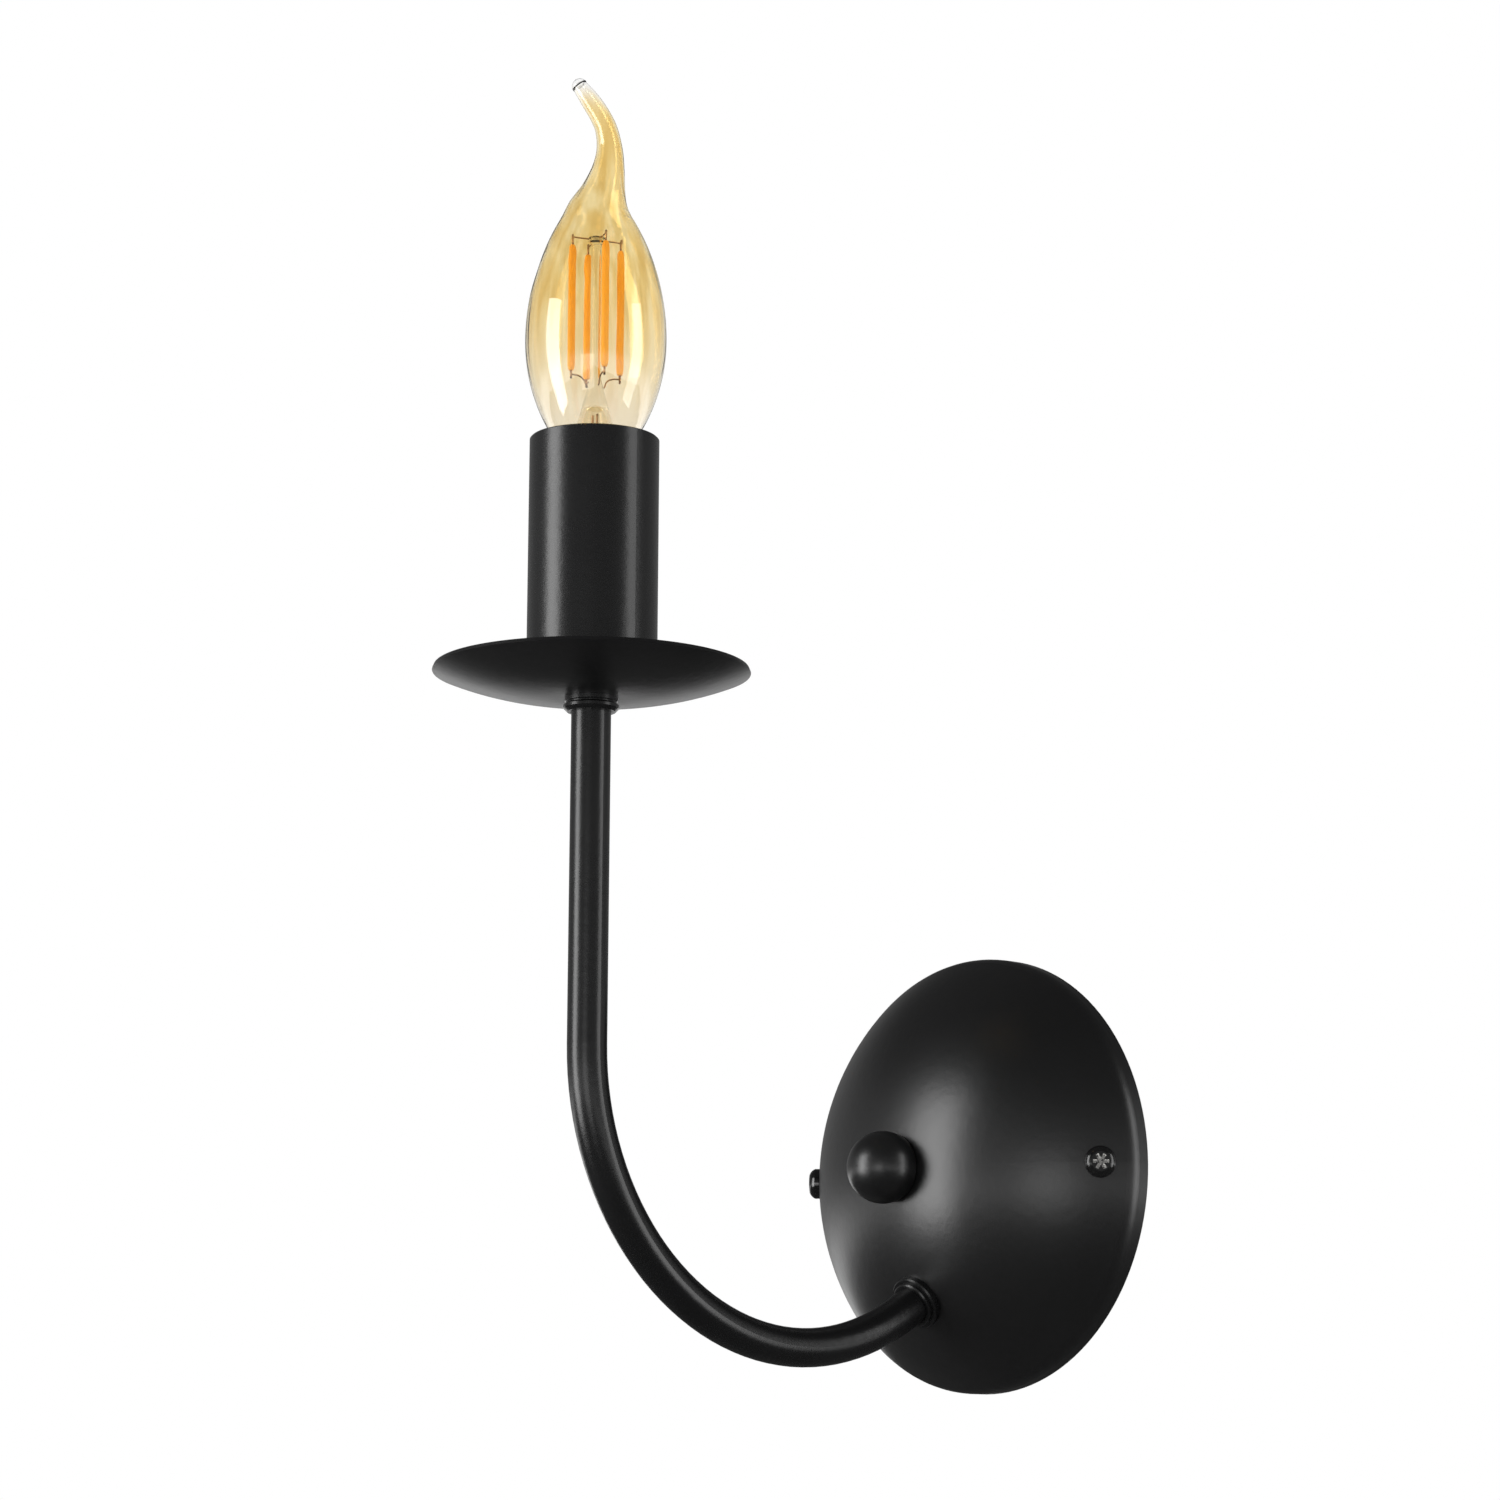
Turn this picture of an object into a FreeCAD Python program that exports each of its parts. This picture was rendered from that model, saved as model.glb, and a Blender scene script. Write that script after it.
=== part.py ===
import FreeCAD, Part
import math
import os
import Sketcher
from FreeCAD import Placement, Rotation, Vector

# A one-light wall sconce with a candle sleeve and a flame-tip lamp.  Millimetres.
# The wall is the plane y = 0 and the lamp stands out from it towards -y.
# The origin is the centre of the canopy on the wall, and +z is up.

sizes = {
    # canopy: a shallow dome with a short straight lip
    "canopyRadius": 58.0,
    "canopyDepth": 35.5,
    "canopyLip": 3.2,
    "canopyBend": 6.0,
    "canopyWall": 1.0,
    # wall bracket: a steel strap with two ears for the canopy's screws
    "strapThick": 1.5,
    "strapWidth": 16.0,
    "strapInset": 18.0,
    "earLength": 11.0,
    "earGap": 0.4,
    "slotInset": 17.0,
    "slotWidth": 4.5,
    "slotLength": 10.0,
    "earthInset": 6.0,
    # machine screws of the canopy
    "screwInset": 5.6,
    "screwRadius": 2.0,
    "screwLength": 8.0,
    "headRadius": 4.1,
    "headHeight": 2.8,
    # ball knob in the middle of the canopy
    "knobRadius": 9.5,
    "knobRise": 3.6,
    "studRadius": 2.5,
    "studLength": 13.0,
    "studGrip": 7.0,
    # arm
    "reach": 141.0,
    "tubeRadius": 5.0,
    "tubeWall": 1.0,
    "armRun": 8.4,
    "bendHeight": 24.3,
    "tubeInside": 12.0,
    "collarRadius": 7.2,
    "collarHeight": 2.6,
    "nutHeight": 3.0,
    "nutFlats": 14.0,
    "washerThick": 0.8,
    # collar, dish and sleeve of the candle
    "dishHeight": 111.4,
    "dishRadius": 40.0,
    "dishDepth": 6.5,
    "dishFlat": 7.5,
    "dishWall": 1.0,
    "dishCollarRadius": 7.0,
    "dishCollarHeight": 3.6,
    "sleeveRadius": 16.45,
    "sleeveWall": 0.9,
    "sleeveHeight": 65.0,
    # lampholder
    "holderRadius": 12.8,
    "holderWall": 2.2,
    "baseHeight": 24.0,
    "bodyHeight": 35.0,
    "threadGrip": 8.0,
    "holderFloor": 2.5,
    "mouthDepth": 6.0,
    "ribWidth": 1.6,
    "shellWall": 0.4,
    "contactThick": 0.5,
    "contactWidth": 3.0,
    "rivetRadius": 1.25,
    "terminalWidth": 6.0,
    "terminalDepth": 5.0,
    "clampRadius": 0.95,
    # lamp
    "capRadius": 6.95,
    "capWall": 0.3,
    "capLength": 25.6,
    "capFlare": 2.2,
    "rimDepth": 3.8,
    "tipRadius": 2.0,
    "tipDrop": 3.0,
    "glassRadius": 18.0,
    "glassWall": 0.7,
    "neckRadius": 8.2,
    "neckLength": 4.2,
    "neckGrip": 3.5,
    "shoulderDrop": 28.0,
    "lowerArc": 47.4,
    "upperArc": 64.0,
    "tipStart": 31.0,
    "tipLength": 37.0,
    "tipBend": 4.9,
    "stemRadius": 1.5,
    "filamentRadius": 0.95,
    "filamentCircle": 6.6,
    "filamentLength": 33.0,
    "filamentDrop": 8.4,
    "supportRadius": 0.2,
    "supportRise": 2.1,
    # wiring
    "wireRadius": 1.1,
    "blockWidth": 27.0,
    "blockHeight": 12.0,
    "blockDepth": 10.0,
    "wayRadius": 2.4,
    "insertWall": 0.95,
    "grubRadius": 1.15,
    # clearances
    "runGap": 0.3,
    "boreGap": 0.1,
    "seatGap": 0.02,
    "threadGap": 0.15,
}

doc = FreeCAD.newDocument("sconce")
sheet = doc.addObject("Spreadsheet::Sheet", "Sizes")
for row, (alias, number) in enumerate(sizes.items(), start=1):
    sheet.set("A%d" % row, alias)
    sheet.set("B%d" % row, str(number))
    sheet.setAlias("B%d" % row, alias)
doc.recompute()


class Size:
    """A length or an angle that knows both its number and its formula on the sheet."""

    def __init__(self, value, text):
        self.value = value
        self.text = text

    def __add__(self, other):
        other = as_size(other)
        return Size(self.value + other.value, "(%s + %s)" % (self.text, other.text))

    def __sub__(self, other):
        other = as_size(other)
        return Size(self.value - other.value, "(%s - %s)" % (self.text, other.text))

    def __mul__(self, other):
        other = as_size(other)
        return Size(self.value * other.value, "(%s * %s)" % (self.text, other.text))

    def __truediv__(self, other):
        other = as_size(other)
        return Size(self.value / other.value, "(%s / %s)" % (self.text, other.text))

    def __radd__(self, other):
        return as_size(other) + self

    def __rsub__(self, other):
        return as_size(other) - self

    def __rmul__(self, other):
        return as_size(other) * self

    def __neg__(self):
        return as_size(-1) * self


def as_size(number):
    if isinstance(number, Size):
        return number
    return Size(float(number), "(%r)" % float(number))


def size(alias):
    return Size(sizes[alias], "Sizes." + alias)


def root(a):
    return Size(math.sqrt(a.value), "sqrt(%s)" % a.text)


# ---- helpers that make features ----

parts = {}                                             # node name -> the object that holds its shape


def bind(thing, prop, amount):
    """Tie a property to the sheet, or set it when the amount is a plain number."""
    if isinstance(amount, Size):
        thing.setExpression(prop, amount.text)
    else:
        setattr(thing, prop, amount)


def place(thing, at=(0, 0, 0), rotation=None):
    """Put an object at a point whose coordinates follow the sheet."""
    at = [as_size(value) for value in at]
    thing.Placement = Placement(Vector(*[value.value for value in at]), rotation or Rotation())
    for axis, value in zip("xyz", at):
        if "Sizes." in value.text:
            thing.setExpression("Placement.Base." + axis, value.text)
    return thing


def primitive(kind, label, at=(0, 0, 0), rotation=None, **properties):
    thing = doc.addObject("Part::" + kind, label)
    for prop, amount in properties.items():
        bind(thing, prop, amount)
    return place(thing, at, rotation)


def boolean(kind, label, base, tools):
    """Part::Cut or Part::Fuse of a base with one or more tools."""
    tool = tools[0]
    if len(tools) > 1:
        tool = doc.addObject("Part::MultiFuse", label + "_tools")
        tool.Shapes = tools
    thing = doc.addObject("Part::" + kind, label)
    thing.Base = base
    thing.Tool = tool
    return thing


def new_body(label):
    return doc.addObject("PartDesign::Body", label)


def new_sketch(body, plane, name, height=None):
    sketch = body.newObject("Sketcher::SketchObject", name)
    origin_plane = [item for item in body.Origin.OriginFeatures if item.Role == plane][0]
    sketch.AttachmentSupport = [(origin_plane, "")]
    sketch.MapMode = "FlatFace"
    if height is not None:
        sketch.AttachmentOffset = Placement(Vector(0, 0, height.value), Rotation())
        sketch.setExpression("AttachmentOffset.Base.z", height.text)
    return sketch


def dimension(sketch, kind, geometry, point, amount):
    """Hold one coordinate of a point, measured from the sketch's origin."""
    amount = as_size(amount)
    if abs(amount.value) < 1e-9 and "Sizes." not in amount.text:
        axis = -2 if kind == "DistanceX" else -1
        sketch.addConstraint(Sketcher.Constraint("PointOnObject", geometry, point, axis))
        return
    if amount.value < 0:
        amount = -amount
        index = sketch.addConstraint(Sketcher.Constraint(kind, geometry, point, -1, 1, amount.value))
    else:
        index = sketch.addConstraint(Sketcher.Constraint(kind, -1, 1, geometry, point, amount.value))
    if "Sizes." in amount.text:
        sketch.setExpression("Constraints[%d]" % index, amount.text)


def arc_between(start, end, radius, side):
    """A minor arc from start to end whose centre lies left (side 1) or right (-1) of the chord."""
    chord = end - start
    middle = (start + end) / 2
    left = Vector(-chord.y, chord.x, 0).normalize()
    rise = math.sqrt(max(radius ** 2 - (chord.Length / 2) ** 2, 0.0))
    centre = middle + left * (side * rise)
    first, last = (start, end) if side > 0 else (end, start)
    angles = [math.atan2(point.y - centre.y, point.x - centre.x) for point in (first, last)]
    return Part.ArcOfCircle(Part.Circle(centre, Vector(0, 0, 1), radius), angles[0], angles[1])


def outline(sketch, points, arcs=None, closed=True):
    """Draw an outline through points that follow the sheet; arcs maps an edge to (radius, side)."""
    arcs = arcs or {}
    points = [(as_size(u), as_size(v)) for u, v in points]
    spots = [Vector(u.value, v.value, 0) for u, v in points]
    count = len(points) if closed else len(points) - 1
    ends = []
    for index in range(count):
        start = spots[index]
        end = spots[(index + 1) % len(spots)]
        if index in arcs:
            radius, side = arcs[index]
            edge = sketch.addGeometry(arc_between(start, end, as_size(radius).value, side), False)
            ends.append((edge, 1, 2) if side > 0 else (edge, 2, 1))
        else:
            edge = sketch.addGeometry(Part.LineSegment(start, end), False)
            ends.append((edge, 1, 2))
    for index in range(count):
        edge, first, last = ends[index]
        if closed or index + 1 < count:
            following = ends[(index + 1) % count]
            sketch.addConstraint(Sketcher.Constraint("Coincident", edge, last, following[0], following[1]))
        dimension(sketch, "DistanceX", edge, first, points[index][0])
        dimension(sketch, "DistanceY", edge, first, points[index][1])
        if index in arcs:
            radius = as_size(arcs[index][0])
            held = sketch.addConstraint(Sketcher.Constraint("Radius", edge, radius.value))
            if "Sizes." in radius.text:
                sketch.setExpression("Constraints[%d]" % held, radius.text)
    if not closed:
        edge, first, last = ends[-1]
        dimension(sketch, "DistanceX", edge, last, points[-1][0])
        dimension(sketch, "DistanceY", edge, last, points[-1][1])
    return sketch


def turned(label, points, arcs=None, at=(0, 0, 0), rotation=None):
    """A piece turned about its own z axis from an outline of (radius, height) points."""
    body = new_body(label)
    sketch = new_sketch(body, "XZ_Plane", label + "_outline")
    outline(sketch, points, arcs)
    revolution = body.newObject("PartDesign::Revolution", label + "_turning")
    revolution.Profile = sketch
    revolution.ReferenceAxis = (sketch, ["V_Axis"])
    revolution.Angle = 360.0
    place(body, at, rotation)
    return body


def ring(label, inner, outer, bottom, top, at=(0, 0, 0), rotation=None):
    points = [(inner, bottom), (outer, bottom), (outer, top), (inner, top)]
    return turned(label, points, None, at, rotation)


def circle_sketch(body, plane, name, radii, height=None, centre=(0, 0)):
    sketch = new_sketch(body, plane, name, height)
    for radius in radii:
        radius = as_size(radius)
        spot = Vector(as_size(centre[0]).value, as_size(centre[1]).value, 0)
        edge = sketch.addGeometry(Part.Circle(spot, Vector(0, 0, 1), radius.value), False)
        dimension(sketch, "DistanceX", edge, 3, centre[0])
        dimension(sketch, "DistanceY", edge, 3, centre[1])
        held = sketch.addConstraint(Sketcher.Constraint("Radius", edge, radius.value))
        sketch.setExpression("Constraints[%d]" % held, radius.text)
    return sketch


def hex_nut(label, flats, bore, bottom, height, at=(0, 0, 0), rotation=None):
    """A hexagon nut on its own z axis, with its corners turned off by a cone."""
    block = primitive("Prism", label + "_hexagon", (0, 0, bottom), None,
                      Polygon=6, Circumradius=flats / 1.7320508, Height=height)
    dressed = turned(label + "_turned", [
        (bore, bottom), (flats * 0.5, bottom), (flats * 0.57, bottom + height * 0.25),
        (flats * 0.57, bottom + height * 0.75), (flats * 0.5, bottom + height), (bore, bottom + height)])
    nut = doc.addObject("Part::Common", label)
    nut.Base = block
    nut.Tool = dressed
    return place(nut, at, rotation)


def rounded_wire(points, radii):
    """Straight runs through the points, with a tangent arc of its own radius at each corner."""
    edges = []
    start = points[0]
    for index in range(1, len(points) - 1):
        corner = points[index]
        back = (points[index - 1] - corner).normalize()
        ahead = (points[index + 1] - corner).normalize()
        half = back.getAngle(ahead) / 2
        reach = radii[index - 1] / math.tan(half)
        first = corner + back * reach
        last = corner + ahead * reach
        inward = (back + ahead).normalize()
        middle = corner + inward * (radii[index - 1] / math.sin(half) - radii[index - 1])
        edges.append(Part.LineSegment(start, first).toShape())
        edges.append(Part.Arc(first, middle, last).toShape())
        start = last
    edges.append(Part.LineSegment(start, points[-1]).toShape())
    return Part.Wire(edges)


def wire_piece(label, points, radii, radius):
    """A round wire swept along a rounded path."""
    path = rounded_wire(points, radii)
    direction = (points[1] - points[0]).normalize()
    section = Part.Wire([Part.Circle(points[0], direction, radius).toShape()])
    solid = path.makePipeShell([section], True, True)
    piece = doc.addObject("Part::Feature", label)
    piece.Shape = solid
    return piece


# ---- frames: the wall, the candle and the dome's own radial axes ----

# The dome is the sphere that meets the bend of the lip smoothly at the canopy's full depth.
flat_radius = size("canopyRadius") - size("canopyBend")
dome_rise = size("canopyDepth") - size("canopyLip")
dome_radius = (flat_radius * flat_radius + dome_rise * dome_rise - size("canopyBend") * size("canopyBend")) \
    / ((dome_rise - size("canopyBend")) * 2)
dome_centre = dome_radius - size("canopyDepth")          # behind the wall, on the canopy's axis
on_wall = Rotation(Vector(1, 0, 0), 90)                  # local z points out of the wall, local y up
candle = (0, -size("reach"), 0)
dome_point = (0, dome_centre, 0)

# The arm leaves the canopy square to the dome, so its line passes through the dome's centre.
# The bend is as wide as the reach allows with a straight run of armRun left outside the dome.
full_reach = dome_centre + size("reach")
bend_start = dome_radius + size("armRun")                # from the dome's centre to the bend
bend_radius = (full_reach * full_reach + size("bendHeight") * size("bendHeight") - bend_start * bend_start) \
    / (full_reach * 2)
bend_y = bend_radius.value - sizes["reach"]
to_centre = Vector(0, dome_centre.value - bend_y, -sizes["bendHeight"])
spread = math.degrees(math.acos(bend_radius.value / to_centre.Length))
arm_tilt = 90 - spread + math.degrees(math.atan2(to_centre.z, to_centre.y))
arm_axis = Rotation(Vector(1, 0, 0), 90 + arm_tilt)
arm_line = Vector(0, math.cos(math.radians(arm_tilt)), math.sin(math.radians(arm_tilt)))
bend_end = Vector(0, bend_y, sizes["bendHeight"]) + Vector(
    0, arm_line.z * bend_radius.value, -arm_line.y * bend_radius.value)

# The canopy's screws stand square to the dome, a little in from its edge.
ear_along = (size("canopyRadius") - size("screwInset")) / dome_radius     # share of a radius across the wall
ear_across = root(1 - ear_along * ear_along)                               # and out of it
strap_half = size("canopyRadius") - size("strapInset")
slot_centre = strap_half - size("slotInset")
earth_offset = strap_half - size("earthInset")


def ear_axis(side):
    """The axis of a canopy screw, square to the dome, on the right (1) or left (-1)."""
    return Rotation(Vector(0, 0, 1), side * math.degrees(math.asin(ear_along.value))) * on_wall


# ---- canopy ----

def make_canopy():
    lip = size("canopyLip")
    share = flat_radius / (dome_radius - size("canopyBend"))
    rise = (lip + dome_centre) / (dome_radius - size("canopyBend"))
    wall = size("canopyWall")
    inner = dome_radius - wall
    blank = turned("canopy_blank", [
        (0, size("canopyDepth")), (dome_radius * share, dome_radius * rise - dome_centre),
        (size("canopyRadius"), lip), (size("canopyRadius"), 0), (size("canopyRadius") - wall, 0),
        (size("canopyRadius") - wall, lip), (inner * share, inner * rise - dome_centre),
        (0, size("canopyDepth") - wall)],
        {0: (dome_radius, -1), 1: (size("canopyBend"), -1),
         5: (size("canopyBend") - wall, 1), 6: (inner, 1)}, (0, 0, 0), on_wall)
    reach = dome_radius + size("knobRise")
    tools = [primitive("Cylinder", "knob_hole", (0, 0, 0), on_wall,
                       Radius=size("studRadius") + size("runGap"),
                       Height=size("canopyDepth") + size("knobRise")),
             primitive("Cylinder", "arm_hole", dome_point, arm_axis,
                       Radius=size("tubeRadius") + size("boreGap"), Height=reach)]
    for side, name in ((1, "right"), (-1, "left")):
        tools.append(primitive("Cylinder", name + "_screw_hole", dome_point, ear_axis(side),
                               Radius=size("screwRadius") + size("runGap"), Height=reach))
    parts["canopy"] = boolean("Cut", "canopy", blank, tools)


def make_bracket():
    """A flat strap on the wall whose two ends rise and fold back into the screw ears."""
    thick = size("strapThick")
    across = ear_across
    along = ear_along
    upper = size("earLength") * 0.55
    lower = size("earLength") * 0.45
    inside = dome_radius - size("canopyWall")
    half_width = size("strapWidth") / 2
    ear_out = root(inside * inside - half_width * half_width - upper * upper) - size("earGap")
    face_x = ear_out * along
    face_h = ear_out * across - dome_centre
    body = new_body("bracket_strap")
    sketch = new_sketch(body, "XY_Plane", "bracket_profile")
    # one end, seen from above: the local x runs along the wall and the local y out from it
    top_x = face_x - upper * across
    top_h = face_h + upper * along
    low_x = face_x + lower * across
    low_h = face_h - lower * along
    right = [(strap_half, 0), (top_x + thick * 0.2, top_h - thick * 1.9),
             (low_x - thick * along, low_h - thick * across), (low_x, low_h), (top_x, top_h),
             (strap_half - thick, thick)]
    left = [(-x, height) for x, height in reversed(right)]
    outline(sketch, right + left)
    pad = body.newObject("PartDesign::Pad", "bracket_width")
    pad.Profile = sketch
    pad.Length = sizes["strapWidth"]
    pad.setExpression("Length", "Sizes.strapWidth")
    # local x -> x, local y -> out of the wall, local z -> down: centred on the canopy's axis
    place(body, (0, 0, half_width), Rotation(Vector(1, 0, 0), 180))
    tools = []
    for side, name in ((1, "right"), (-1, "left")):
        ear_bore = primitive("Cylinder", name + "_ear_bore", dome_point, ear_axis(side),
                             Radius=size("screwRadius"), Height=dome_radius)
        # only the ear is drilled, never the strap behind it
        ear_zone = primitive("Box", name + "_ear_zone",
                             (strap_half * side - (0 if side > 0 else strap_half),
                              -size("canopyDepth"), -half_width), None,
                             Length=strap_half, Width=size("canopyDepth") - thick,
                             Height=size("strapWidth"))
        zone = doc.addObject("Part::Common", name + "_ear_cut")
        zone.Base = ear_bore
        zone.Tool = ear_zone
        tools.append(zone)
        half = (size("slotLength") - size("slotWidth")) / 2
        centre = slot_centre * side
        tools.append(primitive("Box", name + "_slot", (centre - half, -thick, -size("slotWidth") / 2), None,
                               Length=half * 2, Width=thick, Height=size("slotWidth")))
        for end in (-1, 1):
            tools.append(primitive("Cylinder", "%s_slot_end_%d" % (name, end + 1),
                                   (centre + end * half, 0, 0), on_wall,
                                   Radius=size("slotWidth") / 2, Height=thick))
    tools.append(primitive("Cylinder", "earth_bore", (-earth_offset, 0, 0), on_wall,
                           Radius=size("screwRadius"), Height=thick))
    tools.append(primitive("Cylinder", "block_bore", (0, 0, 0), on_wall, Radius=thick, Height=thick))
    parts["wall_bracket"] = boolean("Cut", "wall_bracket", body, tools)


def pan_screw(label, shank, head, head_height, length, at, rotation):
    """A pan-head screw on its own z axis: head above z = 0 of its frame, shank below."""
    return turned(label, [
        (0, -length), (shank * 0.75, -length), (shank, -length + shank * 0.4), (shank, 0), (head, 0),
        (head, head_height * 0.45), (head * 0.62, head_height), (0, head_height)],
        {5: (head * 0.62, 1)}, at, rotation)


def make_canopy_screws():
    """Two screws through the dome into the ears, each head sitting just on the dome."""
    heads = []
    seat = dome_radius + size("seatGap")
    recess_depth = size("headHeight") * 0.57
    blade_length = size("headRadius") * 1.02
    blade_width = size("headRadius") * 0.22
    for side, name in ((1, "right"), (-1, "left")):
        axis = ear_axis(side)
        direction = axis.multVec(Vector(0, 0, 1))
        at = (seat * direction.x, dome_centre + seat * direction.y, 0)
        screw = pan_screw(name + "_screw_turned", size("screwRadius"), size("headRadius"),
                          size("headHeight"), size("screwLength"), at, axis)
        floor = dome_radius + size("headHeight") - recess_depth
        slots = []
        for turn in (0, 60, 120):
            spin = axis * Rotation(Vector(0, 0, 1), turn)
            corner = spin.multVec(Vector(-blade_length.value / 2, -blade_width.value / 2, 0))
            slot_at = (floor * direction.x + corner.x,
                       dome_centre + floor * direction.y + corner.y, corner.z)
            slots.append(primitive("Box", "%s_star_%d" % (name, turn), slot_at, spin,
                                   Length=blade_length, Width=blade_width, Height=recess_depth * 2))
        heads.append(boolean("Cut", name + "_screw", screw, slots))
    group = doc.addObject("Part::Compound", "canopy_screws")
    group.Links = heads
    parts["canopy_screws"] = group


def make_knob():
    """A ball with a flat foot on the crown of the dome, held by a stud, washer and nut."""
    radius = size("knobRadius")
    rise = size("knobRise")
    foot = root(radius * radius - rise * rise)
    inside = size("canopyDepth") - size("canopyWall")
    crown = size("canopyDepth")
    stud = size("studRadius")
    socket = crown + size("studGrip")
    end = inside - size("studLength")
    bevel = stud * 0.4
    parts["knob_ball"] = turned("knob_ball", [
        (0, crown + rise + radius), (radius, crown + rise), (foot, crown), (stud, crown),
        (stud, socket), (0, socket)], {0: (radius, -1), 1: (radius, -1)}, (0, 0, 0), on_wall)
    parts["knob_stud"] = turned("knob_stud", [
        (0, socket - size("boreGap")), (stud, socket - size("boreGap")), (stud, end + bevel),
        (stud - bevel, end), (0, end)], None, (0, 0, 0), on_wall)
    # the washer's edge meets the hollow of the dome, so its face stands a little below the crown
    washer_radius = stud * 2.2
    hollow = dome_radius - size("canopyWall")
    seat = root(hollow * hollow - washer_radius * washer_radius) - dome_centre - size("seatGap")
    low = seat - size("washerThick")
    nut_height = stud * 1.6
    parts["knob_washer"] = ring("knob_washer", stud + size("boreGap"), washer_radius, low, seat,
                                (0, 0, 0), on_wall)
    parts["knob_nut"] = hex_nut("knob_nut", stud * 3.2, stud, low - nut_height, nut_height,
                                (0, 0, 0), on_wall)


# ---- arm ----

def make_arm():
    body = new_body("arm_tube")
    top = size("dishHeight") + size("dishWall") + size("nutHeight") + size("threadGrip")
    circle_sketch(body, "XY_Plane", "arm_section",
                  [size("tubeRadius"), size("tubeRadius") - size("tubeWall")], top)
    path = new_sketch(body, "YZ_Plane", "arm_path")
    kept = dome_radius.value - sizes["canopyWall"] - sizes["tubeInside"]
    end = Vector(dome_centre.value - kept * arm_line.y + sizes["reach"], -kept * arm_line.z, 0)
    turn = Vector(bend_end.y + sizes["reach"], bend_end.z, 0)
    outline(path, [(0, top), (0, size("bendHeight")), (turn.x, turn.y), (end.x, end.y)],
            {1: (bend_radius, 1)}, closed=False)
    pipe = body.newObject("PartDesign::AdditivePipe", "arm_sweep")
    pipe.Profile = body.getObject("arm_section")
    pipe.Spine = (path, ["Edge1", "Edge2", "Edge3"])
    place(body, candle)
    parts["arm_tube"] = body

    seat = dome_radius
    gap = size("seatGap")
    outer = size("collarRadius")
    bore = size("tubeRadius") + size("boreGap")
    ledge = (outer - bore) * 0.52
    bevel = (outer - bore) * 0.16
    low = root(seat * seat - outer * outer) + gap
    high = root(seat * seat - bore * bore) + gap
    top = seat + size("collarHeight")
    middle = seat + size("collarHeight") * 0.6
    parts["arm_collar"] = turned("arm_collar", [
        (bore, high), (outer, low), (outer, seat + size("collarHeight") * 0.45),
        (outer - bevel, middle), (outer - ledge, middle),
        (outer - ledge, top - bevel), (outer - ledge - bevel, top),
        (bore, top)], {0: (seat, -1)}, dome_point, arm_axis)
    # the washer's edge meets the hollow of the dome, so its face stands a little inside it
    washer_radius = size("nutFlats") * 0.54
    hollow = seat - size("canopyWall")
    inside = root(hollow * hollow - washer_radius * washer_radius) - gap
    parts["arm_washer"] = ring("arm_washer", bore, washer_radius, inside - size("washerThick"),
                               inside, dome_point, arm_axis)
    parts["arm_nut"] = hex_nut("arm_nut", size("nutFlats"), size("tubeRadius"),
                               inside - size("washerThick") - size("nutHeight"), size("nutHeight"),
                               dome_point, arm_axis)


# ---- candle: collar, dish and sleeve ----

def dish_arc():
    span = size("dishRadius") - size("dishFlat")
    return (span * span + size("dishDepth") * size("dishDepth")) / (size("dishDepth") * 2)


def make_dish():
    arc = dish_arc()
    flat = size("dishFlat")
    base = size("dishHeight")
    wall = size("dishWall")
    span = size("dishRadius") - flat
    share = span / arc
    lift = (arc - size("dishDepth")) / arc
    bore = size("tubeRadius") + size("boreGap")
    parts["candle_dish"] = turned("candle_dish", [
        (bore, base), (flat, base), (size("dishRadius"), base + size("dishDepth")),
        (flat + (arc - wall) * share, base + arc - (arc - wall) * lift), (flat, base + wall),
        (bore, base + wall)], {1: (arc, 1), 3: (arc - wall, -1)}, candle)
    outer = size("dishCollarRadius")
    tall = size("dishCollarHeight")
    low = base - tall
    bevel = (outer - bore) * 0.47
    groove = (outer - bore) * 0.32
    upper = (outer - bore) * 0.16
    parts["dish_collar"] = turned("dish_collar", [
        (bore, low), (outer - bevel, low), (outer, low + bevel), (outer, low + tall * 0.45),
        (outer - groove, low + tall * 0.59), (outer - groove, low + tall * 0.66),
        (outer - upper, low + tall * 0.73), (outer - upper, base), (bore, base)], None, candle)
    parts["dish_nut"] = hex_nut("dish_nut", size("nutFlats"), size("tubeRadius"), base + wall,
                                size("nutHeight"), candle)


def sleeve_bottom():
    arc = dish_arc()
    inner = arc - size("dishWall")
    off = size("sleeveRadius") - size("dishFlat")
    return size("dishHeight") + arc - root(inner * inner - off * off) + size("runGap")


def make_sleeve():
    inner = size("sleeveRadius") - size("sleeveWall")
    outer = size("sleeveRadius")
    bottom = sleeve_bottom()
    top = bottom + size("sleeveHeight")
    bevel = size("sleeveWall") / 3
    parts["candle_sleeve"] = turned("candle_sleeve", [
        (inner, bottom), (outer, bottom), (outer, top - bevel), (outer - bevel, top),
        (inner + bevel, top), (inner, top - bevel)], None, candle)


# ---- lampholder ----

def holder_bottom():
    return size("dishHeight") + size("dishWall") + size("nutHeight")


def holder_seam():
    """Where the upper half of the lampholder sits on the lower half."""
    return holder_bottom() + size("baseHeight")


def holder_top():
    return holder_seam() + size("bodyHeight")


def joined(label, pieces):
    thing = doc.addObject("Part::MultiFuse", label)
    thing.Shapes = pieces
    return thing


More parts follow.
